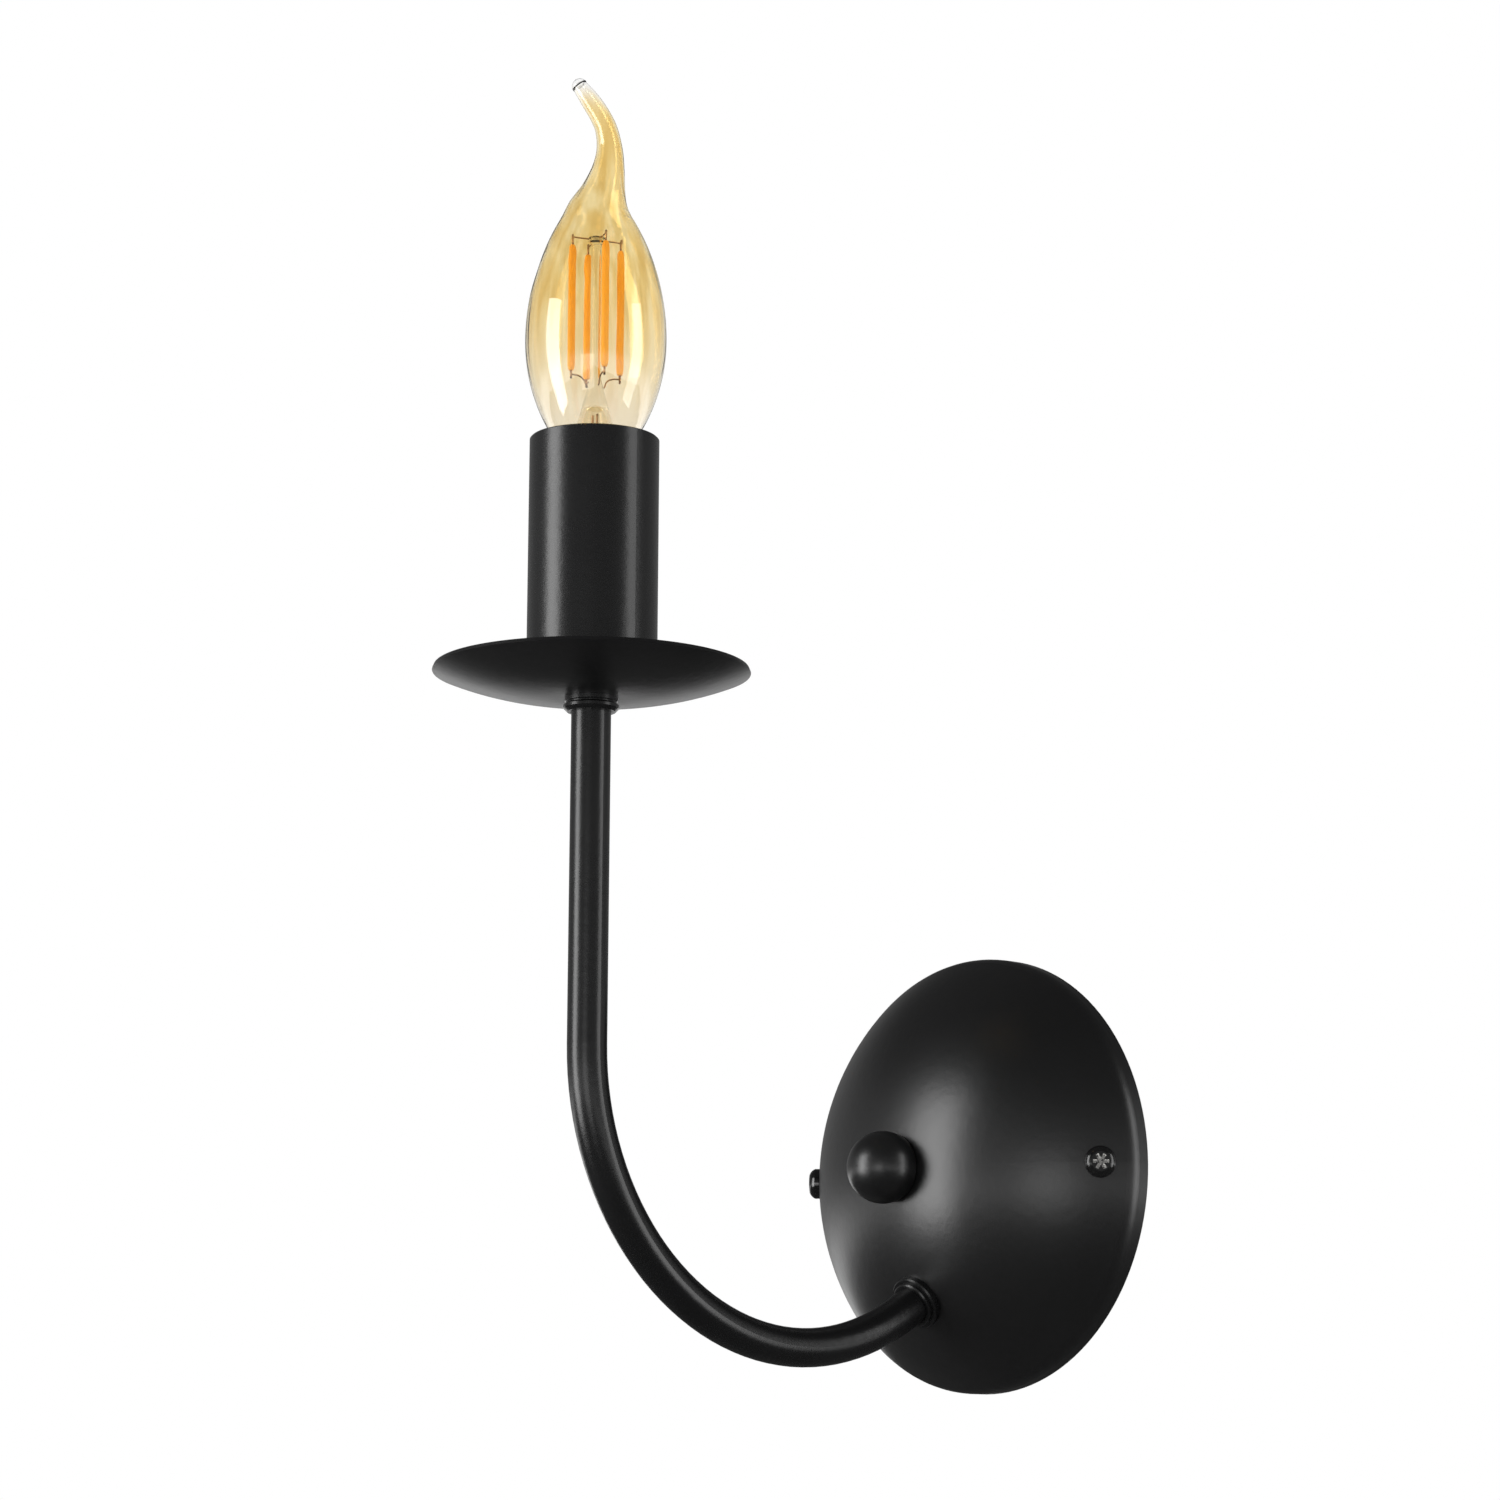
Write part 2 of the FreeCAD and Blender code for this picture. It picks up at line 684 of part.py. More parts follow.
def make_holder():
    bottom = holder_bottom()
    seam = holder_seam()
    top = holder_top()
    outer = size("holderRadius")
    inner = outer - size("holderWall")
    bore = size("tubeRadius") + size("boreGap")
    bevel = size("holderWall") * 0.45
    floor = bottom + size("threadGrip") + bevel
    parts["holder_base"] = turned("holder_base", [
        (bore, bottom), (outer - bevel, bottom), (outer, bottom + bevel), (outer, seam), (inner, seam),
        (inner, floor), (bore, floor)], None, candle)
    shell_inner = size("capRadius") + size("threadGap")
    shell_outer = shell_inner + size("shellWall")
    pocket = shell_outer + size("seatGap")
    shell_low = lamp_bottom() - size("tipDrop") / 2
    shell_top = top - size("mouthDepth")
    cavity = seam + size("holderFloor")
    mouth = cap_rim() + size("runGap") * 2
    rivet = size("rivetRadius") + size("seatGap") * 2
    chamfer = size("shellWall") * 1.5
    body = turned("holder_body_turned", [
        (rivet, cavity), (rivet, seam), (outer, seam), (outer, top), (mouth + chamfer, top),
        (mouth, top - chamfer), (mouth, shell_top), (pocket, shell_top), (pocket, cavity)], None, candle)
    ribs = []
    rib_out = size("sleeveRadius") - size("sleeveWall") - size("runGap")
    rib_width = size("ribWidth")
    for index in range(4):
        angle = math.radians(45 + 90 * index)
        ribs.append(primitive("Box", "holder_rib_%d" % index,
                              (rib_width * (math.sin(angle) / 2),
                               -size("reach") - rib_width * (math.cos(angle) / 2), seam + rib_width),
                              Rotation(Vector(0, 0, 1), math.degrees(angle)), Length=rib_out, Width=rib_width,
                              Height=size("bodyHeight") - size("mouthDepth") - rib_width))
    hollow = primitive("Cylinder", "holder_rib_core", (0, -size("reach"), seam), None,
                       Radius=outer - bevel / 2, Height=size("bodyHeight"))
    rib_set = boolean("Cut", "holder_rib_set", joined("holder_ribs_all", ribs), [hollow])
    parts["holder_body"] = boolean("Fuse", "holder_body", body, [rib_set])
    lip = shell_inner - size("tipDrop")
    parts["screw_shell"] = turned("screw_shell", [
        (lip, shell_low), (shell_outer, shell_low), (shell_outer, shell_top), (shell_inner, shell_top),
        (shell_inner, shell_low + size("shellWall")), (lip, shell_low + size("shellWall"))], None, candle)


def make_holder_contacts():
    """The middle contact of the holder, its rivet, and the two terminals in the base."""
    seam = holder_seam()
    floor = seam + size("holderFloor")
    tip = lamp_bottom() - size("runGap")
    thick = size("contactThick")
    width = size("contactWidth")
    rivet = size("rivetRadius")
    back = -size("reach") - rivet * 3
    leaves = []
    for name, height, length, rise in (("strip", floor, rivet * 5.5, thick),
                                       ("blade", tip - thick, rivet * 4.8, thick),
                                       ("riser", floor + thick, thick, tip - floor - thick * 2)):
        leaves.append(primitive("Box", "contact_" + name, (-width / 2, back, height), None,
                                Length=width, Width=length, Height=rise))
    hole = primitive("Cylinder", "contact_hole", (0, -size("reach"), floor), None,
                     Radius=rivet + size("seatGap"), Height=thick)
    parts["centre_contact"] = boolean("Cut", "centre_contact", joined("contact_leaf", leaves), [hole])
    plate = seam - thick * 1.2
    head = rivet * 1.7
    over = rivet * 0.5
    parts["contact_rivet"] = turned("contact_rivet", [
        (0, plate), (head, plate), (head, seam), (rivet, seam), (rivet, floor + thick), (head, floor + thick),
        (head, floor + thick + over), (0, floor + thick + over)], None, candle)
    # the two terminals hang from the upper half, side by side, each with a clamp screw in front
    low = holder_bottom() + size("threadGrip") + size("holderWall") * 2
    tall = plate - size("seatGap") - low
    wide = size("terminalWidth")
    deep = size("terminalDepth")
    apart = size("runGap") * 2
    hole_height = low + tall * 0.4
    clamp = size("clampRadius")
    screws = []
    for side, name in ((1, "live"), (-1, "neutral")):
        corner = apart if side > 0 else -apart - wide
        across = (apart + wide * 0.6) * side
        block = primitive("Box", name + "_terminal_blank", (corner, -size("reach") - deep / 2, low), None,
                          Length=wide, Width=deep, Height=tall)
        bore = primitive("Cylinder", name + "_terminal_bore", (across, -size("reach") - deep, hole_height),
                         Rotation(Vector(1, 0, 0), -90), Radius=clamp + size("seatGap"), Height=deep * 2)
        parts[name + "_terminal"] = boolean("Cut", name + "_terminal", block, [bore])
        head = clamp * 1.5
        out = deep * 0.8
        screws.append(turned(name + "_clamp_screw", [
            (0, 0), (clamp, 0), (clamp, out), (head, out), (head, out + clamp), (0, out + clamp)], None,
            (across, -size("reach") + deep * 0.3, hole_height), Rotation(Vector(1, 0, 0), 90)))
    group = doc.addObject("Part::Compound", "terminal_screws")
    group.Links = screws
    parts["terminal_screws"] = group


# ---- lamp ----

bend_side = 47.7     # the tip bends to this side, in degrees from +x towards +y
tip_share = (0.0, 0.04, 0.11, 0.25, 0.40, 0.54, 0.69, 0.80, 0.91, 1.0)              # of tipLength
tip_lean = (0.0, 0.03, 0.11, 0.32, 0.53, 0.59, 0.40, 0.02, -0.51, -1.0)             # of tipBend
tip_thick = (0.556, 0.511, 0.450, 0.324, 0.238, 0.189, 0.159, 0.148, 0.136, 0.108)  # of glassRadius
tip_hollow = 8       # how many of the tip's sections are hollow


def lamp_bottom():
    """The underside of the lamp's contact tip."""
    return holder_top() + size("holderWall") * 0.45 - size("capLength")


def cap_rim():
    """The outer radius of the cap where it holds the glass."""
    return size("neckRadius") + size("boreGap") + size("capWall")


def glass_bottom():
    return lamp_bottom() + size("capLength") - size("neckGrip")


def bulge():
    """The height of the lamp's widest section."""
    return glass_bottom() + size("neckLength") + size("shoulderDrop")


def arc_radius(arc, away):
    """The glass's radius at a height away from its widest section, on an arc of that radius."""
    return size("glassRadius") - arc + root(arc * arc - away * away)


def make_glass():
    middle = bulge()
    wide = size("glassRadius")
    wall = size("glassWall")
    neck = size("neckRadius")
    low_arc = size("lowerArc")
    high_arc = size("upperArc")
    shoulder = middle - size("shoulderDrop")
    low_radius = arc_radius(low_arc, size("shoulderDrop"))
    high = middle + size("tipStart")
    high_radius = arc_radius(high_arc, size("tipStart"))
    bottom = glass_bottom()
    fold = shoulder - wall
    bowl = turned("glass_bowl", [
        (neck - wall, bottom), (neck, bottom), (neck, fold), (low_radius, shoulder),
        (wide, middle), (high_radius, high), (high_radius - wall, high), (wide - wall, middle),
        (low_radius - wall, shoulder), (neck - wall, fold)],
        {3: (low_arc, 1), 4: (high_arc, 1), 6: (high_arc - wall, -1), 7: (low_arc - wall, -1)}, candle)
    turn = Rotation(Vector(0, 0, 1), bend_side)
    aside = turn.multVec(Vector(1, 0, 0))
    length = size("tipLength")
    bend = size("tipBend")
    lofts = []
    for name, less, count in (("outer", as_size(0), len(tip_share)), ("inner", wall, tip_hollow)):
        circles = []
        for index in range(count):
            before = max(index - 1, 0)
            after = min(index + 1, count - 1)
            lean = 0.0
            if index > 1:
                lean = math.degrees(math.atan2((tip_lean[after] - tip_lean[before]) * sizes["tipBend"],
                                               (tip_share[after] - tip_share[before]) * sizes["tipLength"]))
            radius = wide * tip_thick[index] if index > 0 else high_radius
            off = bend * tip_lean[index]
            circles.append(primitive(
                "Circle", "tip_%s_%d" % (name, index),
                (off * aside.x, off * aside.y - size("reach"), high + length * tip_share[index]),
                turn * Rotation(Vector(0, 1, 0), lean), Radius=radius - less))
        loft = doc.addObject("Part::Loft", "tip_%s" % name)
        loft.Sections = circles
        loft.Solid = True
        loft.Ruled = False
        lofts.append(loft)
    tail = boolean("Cut", "glass_tip", lofts[0], [lofts[1]])
    end_off = bend * tip_lean[-1]
    bead = primitive("Sphere", "tip_bead",
                     (end_off * aside.x, end_off * aside.y - size("reach"), high + length),
                     turn, Radius=wide * (tip_thick[-1] * 1.08))
    parts["lamp_glass"] = boolean("Fuse", "lamp_glass", bowl, [tail, bead])


def make_cap():
    """The screw cap: a thin metal shell, an insulator at its foot and the contact tip."""
    low = lamp_bottom()
    outer = size("capRadius")
    wall = size("capWall")
    rim = cap_rim()
    top = low + size("capLength")
    shell_low = low + size("tipDrop")
    flare = top - size("rimDepth")
    cone = flare - size("capFlare")
    turn_in = size("tipRadius") * 0.6
    parts["lamp_cap"] = turned("lamp_cap", [
        (outer - turn_in, shell_low), (outer, shell_low + turn_in), (outer, cone), (rim, flare), (rim, top),
        (rim - wall, top), (rim - wall, flare), (outer - wall, cone + wall),
        (outer - wall, shell_low + turn_in + wall), (outer - turn_in - wall, shell_low + wall)], None, candle)
    tip = size("tipRadius")
    gap = size("boreGap")
    socket = low + size("tipDrop") / 2
    edge = outer - turn_in - gap / 2
    inner = edge - wall
    plug = shell_low + size("tipDrop") / 3
    parts["cap_insulator"] = turned("cap_insulator", [
        (tip + gap, low + tip * 0.35), (tip * 1.7, low + tip * 0.35), (edge, shell_low - gap * 2),
        (edge, shell_low), (inner, shell_low), (inner, plug), (0, plug), (0, socket + gap),
        (tip + gap, socket + gap)], None, candle)
    parts["contact_tip"] = turned("contact_tip", [
        (0, low), (tip * 0.6, low), (tip, low + tip * 0.3), (tip, socket), (0, socket)], None, candle)


def make_filaments():
    """Four lit rods round a glass stem, held by wires at both ends."""
    middle = bulge()
    low = middle - size("filamentDrop")
    top = low + size("filamentLength")
    circle = size("filamentCircle")
    thin = size("supportRadius")
    foot_share = 0.31                                 # how far in the foot wires start
    foot_slope = 0.518                                # their rise for each step out
    foot_turn = 90 - math.degrees(math.atan(foot_slope))
    stem = size("stemRadius")
    button = stem * 1.45                              # the stem's head, where the top arms end
    inner = button + size("seatGap")
    arm_height = top + size("supportRise")
    rods = []
    arms = []
    feet = []
    for index in range(4):
        angle = bend_side + 22 + 90 * index
        spin = Rotation(Vector(0, 0, 1), angle)
        aside = spin.multVec(Vector(1, 0, 0))
        rods.append(primitive("Cylinder", "filament_rod_%d" % index,
                              (circle * aside.x, circle * aside.y - size("reach"), low), spin,
                              Radius=size("filamentRadius"), Height=size("filamentLength")))
        arms.append(primitive("Cylinder", "top_arm_%d" % index,
                              (inner * aside.x, inner * aside.y - size("reach"), arm_height),
                              spin * Rotation(Vector(0, 1, 0), 90), Radius=thin,
                              Height=circle - inner + thin))
        arms.append(primitive("Cylinder", "top_post_%d" % index,
                              (circle * aside.x, circle * aside.y - size("reach"), top), spin,
                              Radius=thin * 1.4, Height=size("supportRise") * 1.35))
        start = circle * foot_share
        run = circle - start
        foot_low = low - run * foot_slope - size("supportRise") / 2
        feet.append(primitive("Cylinder", "foot_arm_%d" % index,
                              (start * aside.x, start * aside.y - size("reach"), foot_low),
                              spin * Rotation(Vector(0, 1, 0), foot_turn), Radius=thin,
                              Height=run * math.hypot(1, foot_slope)))
        feet.append(primitive("Cylinder", "foot_post_%d" % index,
                              (circle * aside.x, circle * aside.y - size("reach"), low - size("supportRise")),
                              spin, Radius=thin * 1.4, Height=size("supportRise")))
    group = doc.addObject("Part::Compound", "filaments")
    group.Links = rods
    parts["filaments"] = group
    parts["top_support"] = joined("top_support", arms)
    parts["foot_wires"] = joined("foot_wires", feet)
    wall = size("glassWall")
    neck = size("neckRadius") - wall - size("boreGap")
    bottom = glass_bottom() + size("boreGap") * 2
    pinch = low - stem * 6
    blade = stem * 1.5
    tube = stem * 2.2
    parts["glass_stem"] = turned("glass_stem", [
        (neck - wall, bottom), (neck, bottom), (tube, pinch), (blade, pinch + stem * 2.7),
        (stem, low - stem * 1.1), (stem, arm_height - stem * 0.7), (button, arm_height - stem * 0.4),
        (button, arm_height + stem * 0.3), (stem, arm_height + stem * 0.5), (0, arm_height + stem * 0.5),
        (0, pinch), (tube - wall * 1.7, pinch - wall)], None, candle)
    leads = []
    lead_low = lamp_bottom() + size("tipDrop") * 1.4
    for side in (-1, 1):
        leads.append(primitive("Cylinder", "lead_%d" % (side + 1),
                               (stem * 0.6 * side, -size("reach"), lead_low), None, Radius=thin * 1.5,
                               Height=pinch - wall * 3 - lead_low))
    group = doc.addObject("Part::Compound", "lead_wires")
    group.Links = leads
    parts["lead_wires"] = group


# ---- wiring in the canopy and through the arm ----

def make_block():
    """The terminal block on the strap: three ways, each a brass tube with two grub screws."""
    strap = size("strapThick")
    half = size("blockWidth") / 2
    deep = size("blockDepth")
    tall = size("blockHeight")
    way = size("wayRadius")
    grub = size("grubRadius")
    middle = -strap - deep / 2
    body = primitive("Box", "block_body", (-half, -strap - deep, -tall / 2), None,
                     Length=size("blockWidth"), Width=deep, Height=tall)
    bores = []
    inserts = []
    screws = []
    for index in (-1, 0, 1):
        x = size("blockWidth") / 3 * index
        number = index + 1
        bores.append(primitive("Cylinder", "block_way_%d" % number, (x, middle, -tall / 2), None,
                               Radius=way, Height=tall))
        blank = primitive("Cylinder", "insert_blank_%d" % number, (x, middle, -tall * 0.417), None,
                          Radius=way - size("boreGap") / 2, Height=tall * 0.833)
        tools = [primitive("Cylinder", "insert_bore_%d" % number, (x, middle, -tall / 2), None,
                           Radius=way - size("boreGap") / 2 - size("insertWall"), Height=tall)]
        for level in (-1, 1):
            z = tall / 4 * level
            tag = "%d_%d" % (number, level + 1)
            bores.append(primitive("Cylinder", "block_screw_way_" + tag, (x, middle, z), on_wall,
                                   Radius=grub + size("threadGap"), Height=deep))
            tools.append(primitive("Cylinder", "insert_tap_" + tag, (x, middle, z), on_wall,
                                   Radius=grub + size("boreGap") / 2, Height=deep))
            screws.append(primitive("Cylinder", "block_screw_" + tag, (x, middle - deep * 0.15, z), on_wall,
                                    Radius=grub, Height=deep * 0.3))
        inserts.append(boolean("Cut", "insert_%d" % number, blank, tools))
    parts["terminal_block"] = boolean("Cut", "terminal_block", body, bores)
    group = doc.addObject("Part::Compound", "block_inserts")
    group.Links = inserts
    parts["block_inserts"] = group
    group = doc.addObject("Part::Compound", "block_screws")
    group.Links = screws
    parts["block_screws"] = group


def make_wires():
    """Two wires from the block through the arm, and a short one to the earth screw."""
    radius = sizes["wireRadius"]
    strap = sizes["strapThick"]
    foot = -(strap + sizes["blockDepth"] / 2)          # depth of the block's ways
    below = -sizes["blockHeight"] / 2
    entry = below + radius                             # how far the wires go into the block
    offset = sizes["tubeRadius"] - sizes["tubeWall"] - radius - 1.5
    bend = bend_radius.value
    run = bend * math.tan(math.radians((90 + arm_tilt) / 2))
    top = holder_bottom().value + sizes["threadGrip"] + sizes["holderWall"] * 2
    corner = Vector(0, -sizes["reach"], sizes["bendHeight"] - run)
    inside = dome_radius.value - sizes["canopyWall"] - sizes["tubeInside"] - radius * 7
    mouth = Vector(0, dome_centre.value, 0) - arm_line * inside
    loop = radius * 8
    for side, name in ((1, "live_wire"), (-1, "neutral_wire")):
        shift = Vector(side * offset, 0, 0)
        x = side * sizes["blockWidth"] / 3
        points = [Vector(side * offset, -sizes["reach"], top), corner + shift, mouth + shift,
                  Vector(x, foot, below - loop), Vector(x, foot, entry)]
        parts[name] = wire_piece(name, points, [bend, radius * 5.5, radius * 3.6], radius)
    aside = foot + radius * 2.6
    low = below - radius * 5.5
    earth = -earth_offset.value
    points = [Vector(0, foot, entry), Vector(0, foot, below - radius * 2.2), Vector(0, aside, low),
              Vector(earth * 0.55, aside, low),
              Vector(earth + radius * 4.4, -strap - radius * 1.2, -radius)]
    parts["earth_wire"] = wire_piece("earth_wire", points, [radius * 2.7, radius * 2, radius * 4.5], radius)


def make_earth_screw():
    seat = size("strapThick")
    washer = size("washerThick")
    head = size("screwRadius") * 1.7
    parts["earth_washer"] = ring("earth_washer", size("screwRadius") + size("boreGap"), head * 1.06,
                                 size("seatGap"), washer, (-earth_offset, -seat, 0), on_wall)
    parts["earth_screw"] = pan_screw("earth_screw", size("screwRadius"), head, head * 0.7, seat + washer,
                                     (-earth_offset, -seat - washer - size("seatGap"), 0), on_wall)


makers = [make_canopy, make_bracket, make_canopy_screws, make_knob, make_arm, make_dish, make_sleeve,
          make_holder, make_holder_contacts, make_glass, make_cap, make_filaments, make_block,
          make_wires, make_earth_screw]
for maker in makers:
    maker()
doc.recompute()

os.makedirs("parts", exist_ok=True)
for thing in doc.Objects:
    if "Invalid" in thing.State or "Error" in thing.State:
        raise RuntimeError("failed: %s %s" % (thing.Label, thing.State))
for name, thing in parts.items():
    shape = thing.Shape
    if shape.isNull() or not shape.isValid():
        raise RuntimeError("bad shape: " + name)
    shape.exportStep("parts/%s.step" % name)
    print("%-20s %9.1f mm3  %d solid" % (name, shape.Volume, len(shape.Solids)))
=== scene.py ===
import math

import bmesh
import bpy
from mathutils import Matrix, Vector


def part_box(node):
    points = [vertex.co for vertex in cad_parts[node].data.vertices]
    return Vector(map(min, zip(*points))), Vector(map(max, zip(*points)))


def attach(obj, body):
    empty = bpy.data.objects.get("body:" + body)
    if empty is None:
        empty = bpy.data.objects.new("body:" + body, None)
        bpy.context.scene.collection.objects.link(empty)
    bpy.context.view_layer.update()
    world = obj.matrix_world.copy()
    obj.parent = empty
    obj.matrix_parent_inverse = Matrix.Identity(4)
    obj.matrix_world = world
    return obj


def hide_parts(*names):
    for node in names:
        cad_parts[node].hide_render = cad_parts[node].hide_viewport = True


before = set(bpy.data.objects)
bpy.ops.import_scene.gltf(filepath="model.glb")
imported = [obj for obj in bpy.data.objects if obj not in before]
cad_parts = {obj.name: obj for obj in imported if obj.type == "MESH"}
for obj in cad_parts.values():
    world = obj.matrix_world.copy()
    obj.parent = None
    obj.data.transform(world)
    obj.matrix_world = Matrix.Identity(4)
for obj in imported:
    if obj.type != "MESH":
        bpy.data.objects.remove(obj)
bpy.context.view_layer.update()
scene = bpy.context.scene
mm = 0.001

candleAxis = (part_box("candle_sleeve")[0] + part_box("candle_sleeve")[1]) / 2
candleX, candleY = candleAxis.x, candleAxis.y

camera = {
    "place": (0.76699, -0.78752, -0.08772),
    "yaw": 47.596,           # degrees from +Y towards -X
    "pitch": 10.517,
    "roll": 0.307,
    "focalPixels": 4077.0,
    "framePixels": 1500,     # the photograph's width
    "sensorWidth": 36.0,
    "clip": (0.01, 20.0),
}


def makeCamera():
    lens = bpy.data.cameras.new("camera")
    lens.sensor_width = camera["sensorWidth"]
    lens.lens = camera["focalPixels"] / camera["framePixels"] * lens.sensor_width
    lens.clip_start, lens.clip_end = camera["clip"]
    body = bpy.data.objects.new("camera", lens)
    scene.collection.objects.link(body)
    yaw, pitch, roll = [math.radians(camera[key]) for key in ("yaw", "pitch", "roll")]
    turn = (Matrix.Rotation(yaw, 4, "Z") @ Matrix.Rotation(math.pi / 2 + pitch, 4, "X")
            @ Matrix.Rotation(roll, 4, "Z"))
    body.matrix_world = Matrix.Translation(camera["place"]) @ turn
    scene.camera = body
    print("camera ready")


class Link:                      # a shader socket that takes part in sums
    def __init__(self, maker, socket):
        self.maker = maker
        self.socket = socket

    def sibling(self, output):   # another output of the same node
        return Link(self.maker, self.socket.node.outputs[output])

    def calc(self, operation, *others):
        return self.maker.add("ShaderNodeMath", {"operation": operation}, dict(enumerate((self, *others))))

    def __add__(self, other):
        return self.calc("ADD", other)

    def __radd__(self, other):
        return self.calc("ADD", other)

    def __sub__(self, other):
        return self.calc("SUBTRACT", other)

    def __rsub__(self, other):
        return self.calc("MULTIPLY", -1.0).calc("ADD", other)

    def __mul__(self, other):
        return self.calc("MULTIPLY", other)

    def __rmul__(self, other):
        return self.calc("MULTIPLY", other)

    def ranged(self, low, high, start, end):     # start below low, end past high, smooth between
        return self.maker.add("ShaderNodeMapRange", {"interpolation_type": "SMOOTHSTEP", "clamp": True},
                              {0: self, 1: low, 2: high, 3: start, 4: end})

    def above(self, edge, width):                # 0 below the edge, 1 past it, smooth over the width
        return self.ranged(edge - width / 2, edge + width / 2, 0.0, 1.0)


class Nodes:                     # a node tree, and the one way to add to it
    def __init__(self, tree):
        self.tree = tree

    def feed(self, node, inputs):                # values or links for a node's sockets
        for key, value in inputs.items():
            if isinstance(value, Link):
                self.tree.links.new(value.socket, node.inputs[key])
            else:
                node.inputs[key].default_value = value

    def add(self, kind, settings=None, inputs=None, output=0):
        node = self.tree.nodes.new(kind)
        for key, value in (settings or {}).items():
            setattr(node, key, value)
        self.feed(node, inputs or {})
        return Link(self, node.outputs[output])

    def split(self, vector):                     # a vector's three numbers
        first = self.add("ShaderNodeSeparateXYZ", inputs={0: vector})
        return [first.sibling(index) for index in range(3)]


class Finish(Nodes):             # one material
    def __init__(self, name):
        self.material = bpy.data.materials.new(name)
        self.material.use_nodes = True
        super().__init__(self.material.node_tree)
        self.shader = self.tree.nodes["Principled BSDF"]
        self.coords = self.add("ShaderNodeTexCoord", output="Object")

    def set(self, **values):
        self.feed(self.shader, {key.replace("_", " "): value for key, value in values.items()})

    def noise(self, scale, detail, roughness=0.5, vector=None):
        return self.add("ShaderNodeTexNoise", inputs={"Vector": vector or self.coords, "Scale": scale,
                                                      "Detail": detail, "Roughness": roughness}, output="Fac")

    def stretched(self, scale):
        return self.add("ShaderNodeMapping", inputs={"Vector": self.coords, "Scale": scale})

    def mix(self, factor, first, second):
        return self.add("ShaderNodeMix", {"data_type": "RGBA"}, {0: factor, 6: first, 7: second}, 2)

    def bump(self, height, strength, distance, under=None):
        inputs = {"Height": height, "Strength": strength, "Distance": distance}
        if under:
            inputs["Normal"] = under
        return self.add("ShaderNodeBump", inputs=inputs)


def grey(level):
    return (level, level, level, 1.0)


def shade(color, share):         # a darker version of a colour
    return tuple(channel * share for channel in color[:3]) + (1,)


# in each finish a noise is given as its scale per metre and detail, a bump as its strength and distance
# in metres and an edge as its place and width; "rougher" is how much a texture adds to the roughness
coat = {
    "cloud": (38.0, 3.0),
    "grain": (2600.0, 2.0),
    "peel": (420.0, 2.0),
    "dark": (0.0044, 0.0044, 0.0047, 1),
    "light": (0.0068, 0.0069, 0.0071, 1),
    "dust": (0.16, 0.16, 0.155, 1),
    "dustScale": 95.0,
    "dustSize": (0.032, 0.012),
    "dustChance": (0.93, 0.01),
    "dustShare": 0.55,
    "rougher": (0.05, 0.03, 0.3),            # cloud, grain, dust
    "grainBump": (0.10, 0.00012),
    "peelBump": (0.10, 0.0004),
}


def blackCoat(name, roughness, shine):   # satin powder coat: even black, very fine orange peel, stray dust
    finish = Finish(name)
    cloud = finish.noise(*coat["cloud"])
    grain = finish.noise(*coat["grain"])
    peel = finish.noise(*coat["peel"])
    specks = finish.add("ShaderNodeTexVoronoi", {"feature": "F1"},
                        {"Vector": finish.coords, "Scale": coat["dustScale"]}, "Distance")
    chance = finish.split(specks.sibling("Color"))[0]
    dust = (1.0 - specks.above(*coat["dustSize"])) * chance.above(*coat["dustChance"])
    base = finish.mix(cloud, coat["dark"], coat["light"])
    color = finish.mix(coat["dustShare"] * dust, base, coat["dust"])
    byCloud, byGrain, byDust = coat["rougher"]
    rough = roughness + cloud * byCloud + grain * byGrain + dust * byDust
    normal = finish.bump(grain, *coat["grainBump"], finish.bump(peel, *coat["peelBump"]))
    finish.set(Base_Color=color, Roughness=rough, Normal=normal, Specular_IOR_Level=shine)
    return finish.material


steel = {
    "cloud": (160.0, 3.0),
    "lines": (900.0, 2.0, 0.6),              # and the noise's own roughness
    "dull": (0.86, 0.87, 0.90),              # shares of the tone in the spangle's two shades
    "bright": (1.0, 0.99, 0.95),
    "rougher": (0.10, 0.12),                 # cloud, lines
    "bump": (0.12, 0.0001),
}


def platedSteel(name, tone, roughness, scale=(1, 1, 1)):     # bright zinc with brushing and a cloudy spangle
    finish = Finish(name)
    cloud = finish.noise(*steel["cloud"])
    lines = finish.noise(*steel["lines"], finish.stretched(scale))
    dull, bright = [tuple(tone * share for share in steel[key]) + (1,) for key in ("dull", "bright")]
    byCloud, byLines = steel["rougher"]
    finish.set(Base_Color=finish.mix(cloud, dull, bright), Metallic=1.0,
               Roughness=roughness + cloud * byCloud + lines * byLines,
               Normal=finish.bump(lines, *steel["bump"]))
    return finish.material


tarnish = {
    "cloud": (220.0, 4.0),
    "fine": (1800.0, 2.0),
    "edge": (0.55, 0.5),
    "share": 0.62,                           # what is left of the colour in a dull patch
    "rougher": 0.14,
    "bump": (0.08, 0.0001),
}


def yellowMetal(name, color, roughness):                     # brass or copper with a little tarnish
    finish = Finish(name)
    cloud = finish.noise(*tarnish["cloud"])
    fine = finish.noise(*tarnish["fine"])
    patches = finish.mix(cloud.above(*tarnish["edge"]), color, shade(color, tarnish["share"]))
    finish.set(Base_Color=patches, Metallic=1.0, Roughness=roughness + cloud * tarnish["rougher"],
               Normal=finish.bump(fine, *tarnish["bump"]))
    return finish.material


plastic = {
    "cloud": (60.0, 2.0),
    "detail": 2.0,
    "share": 0.90,
    "rougher": 0.10,
    "bump": (0.12, 0.0001),
}


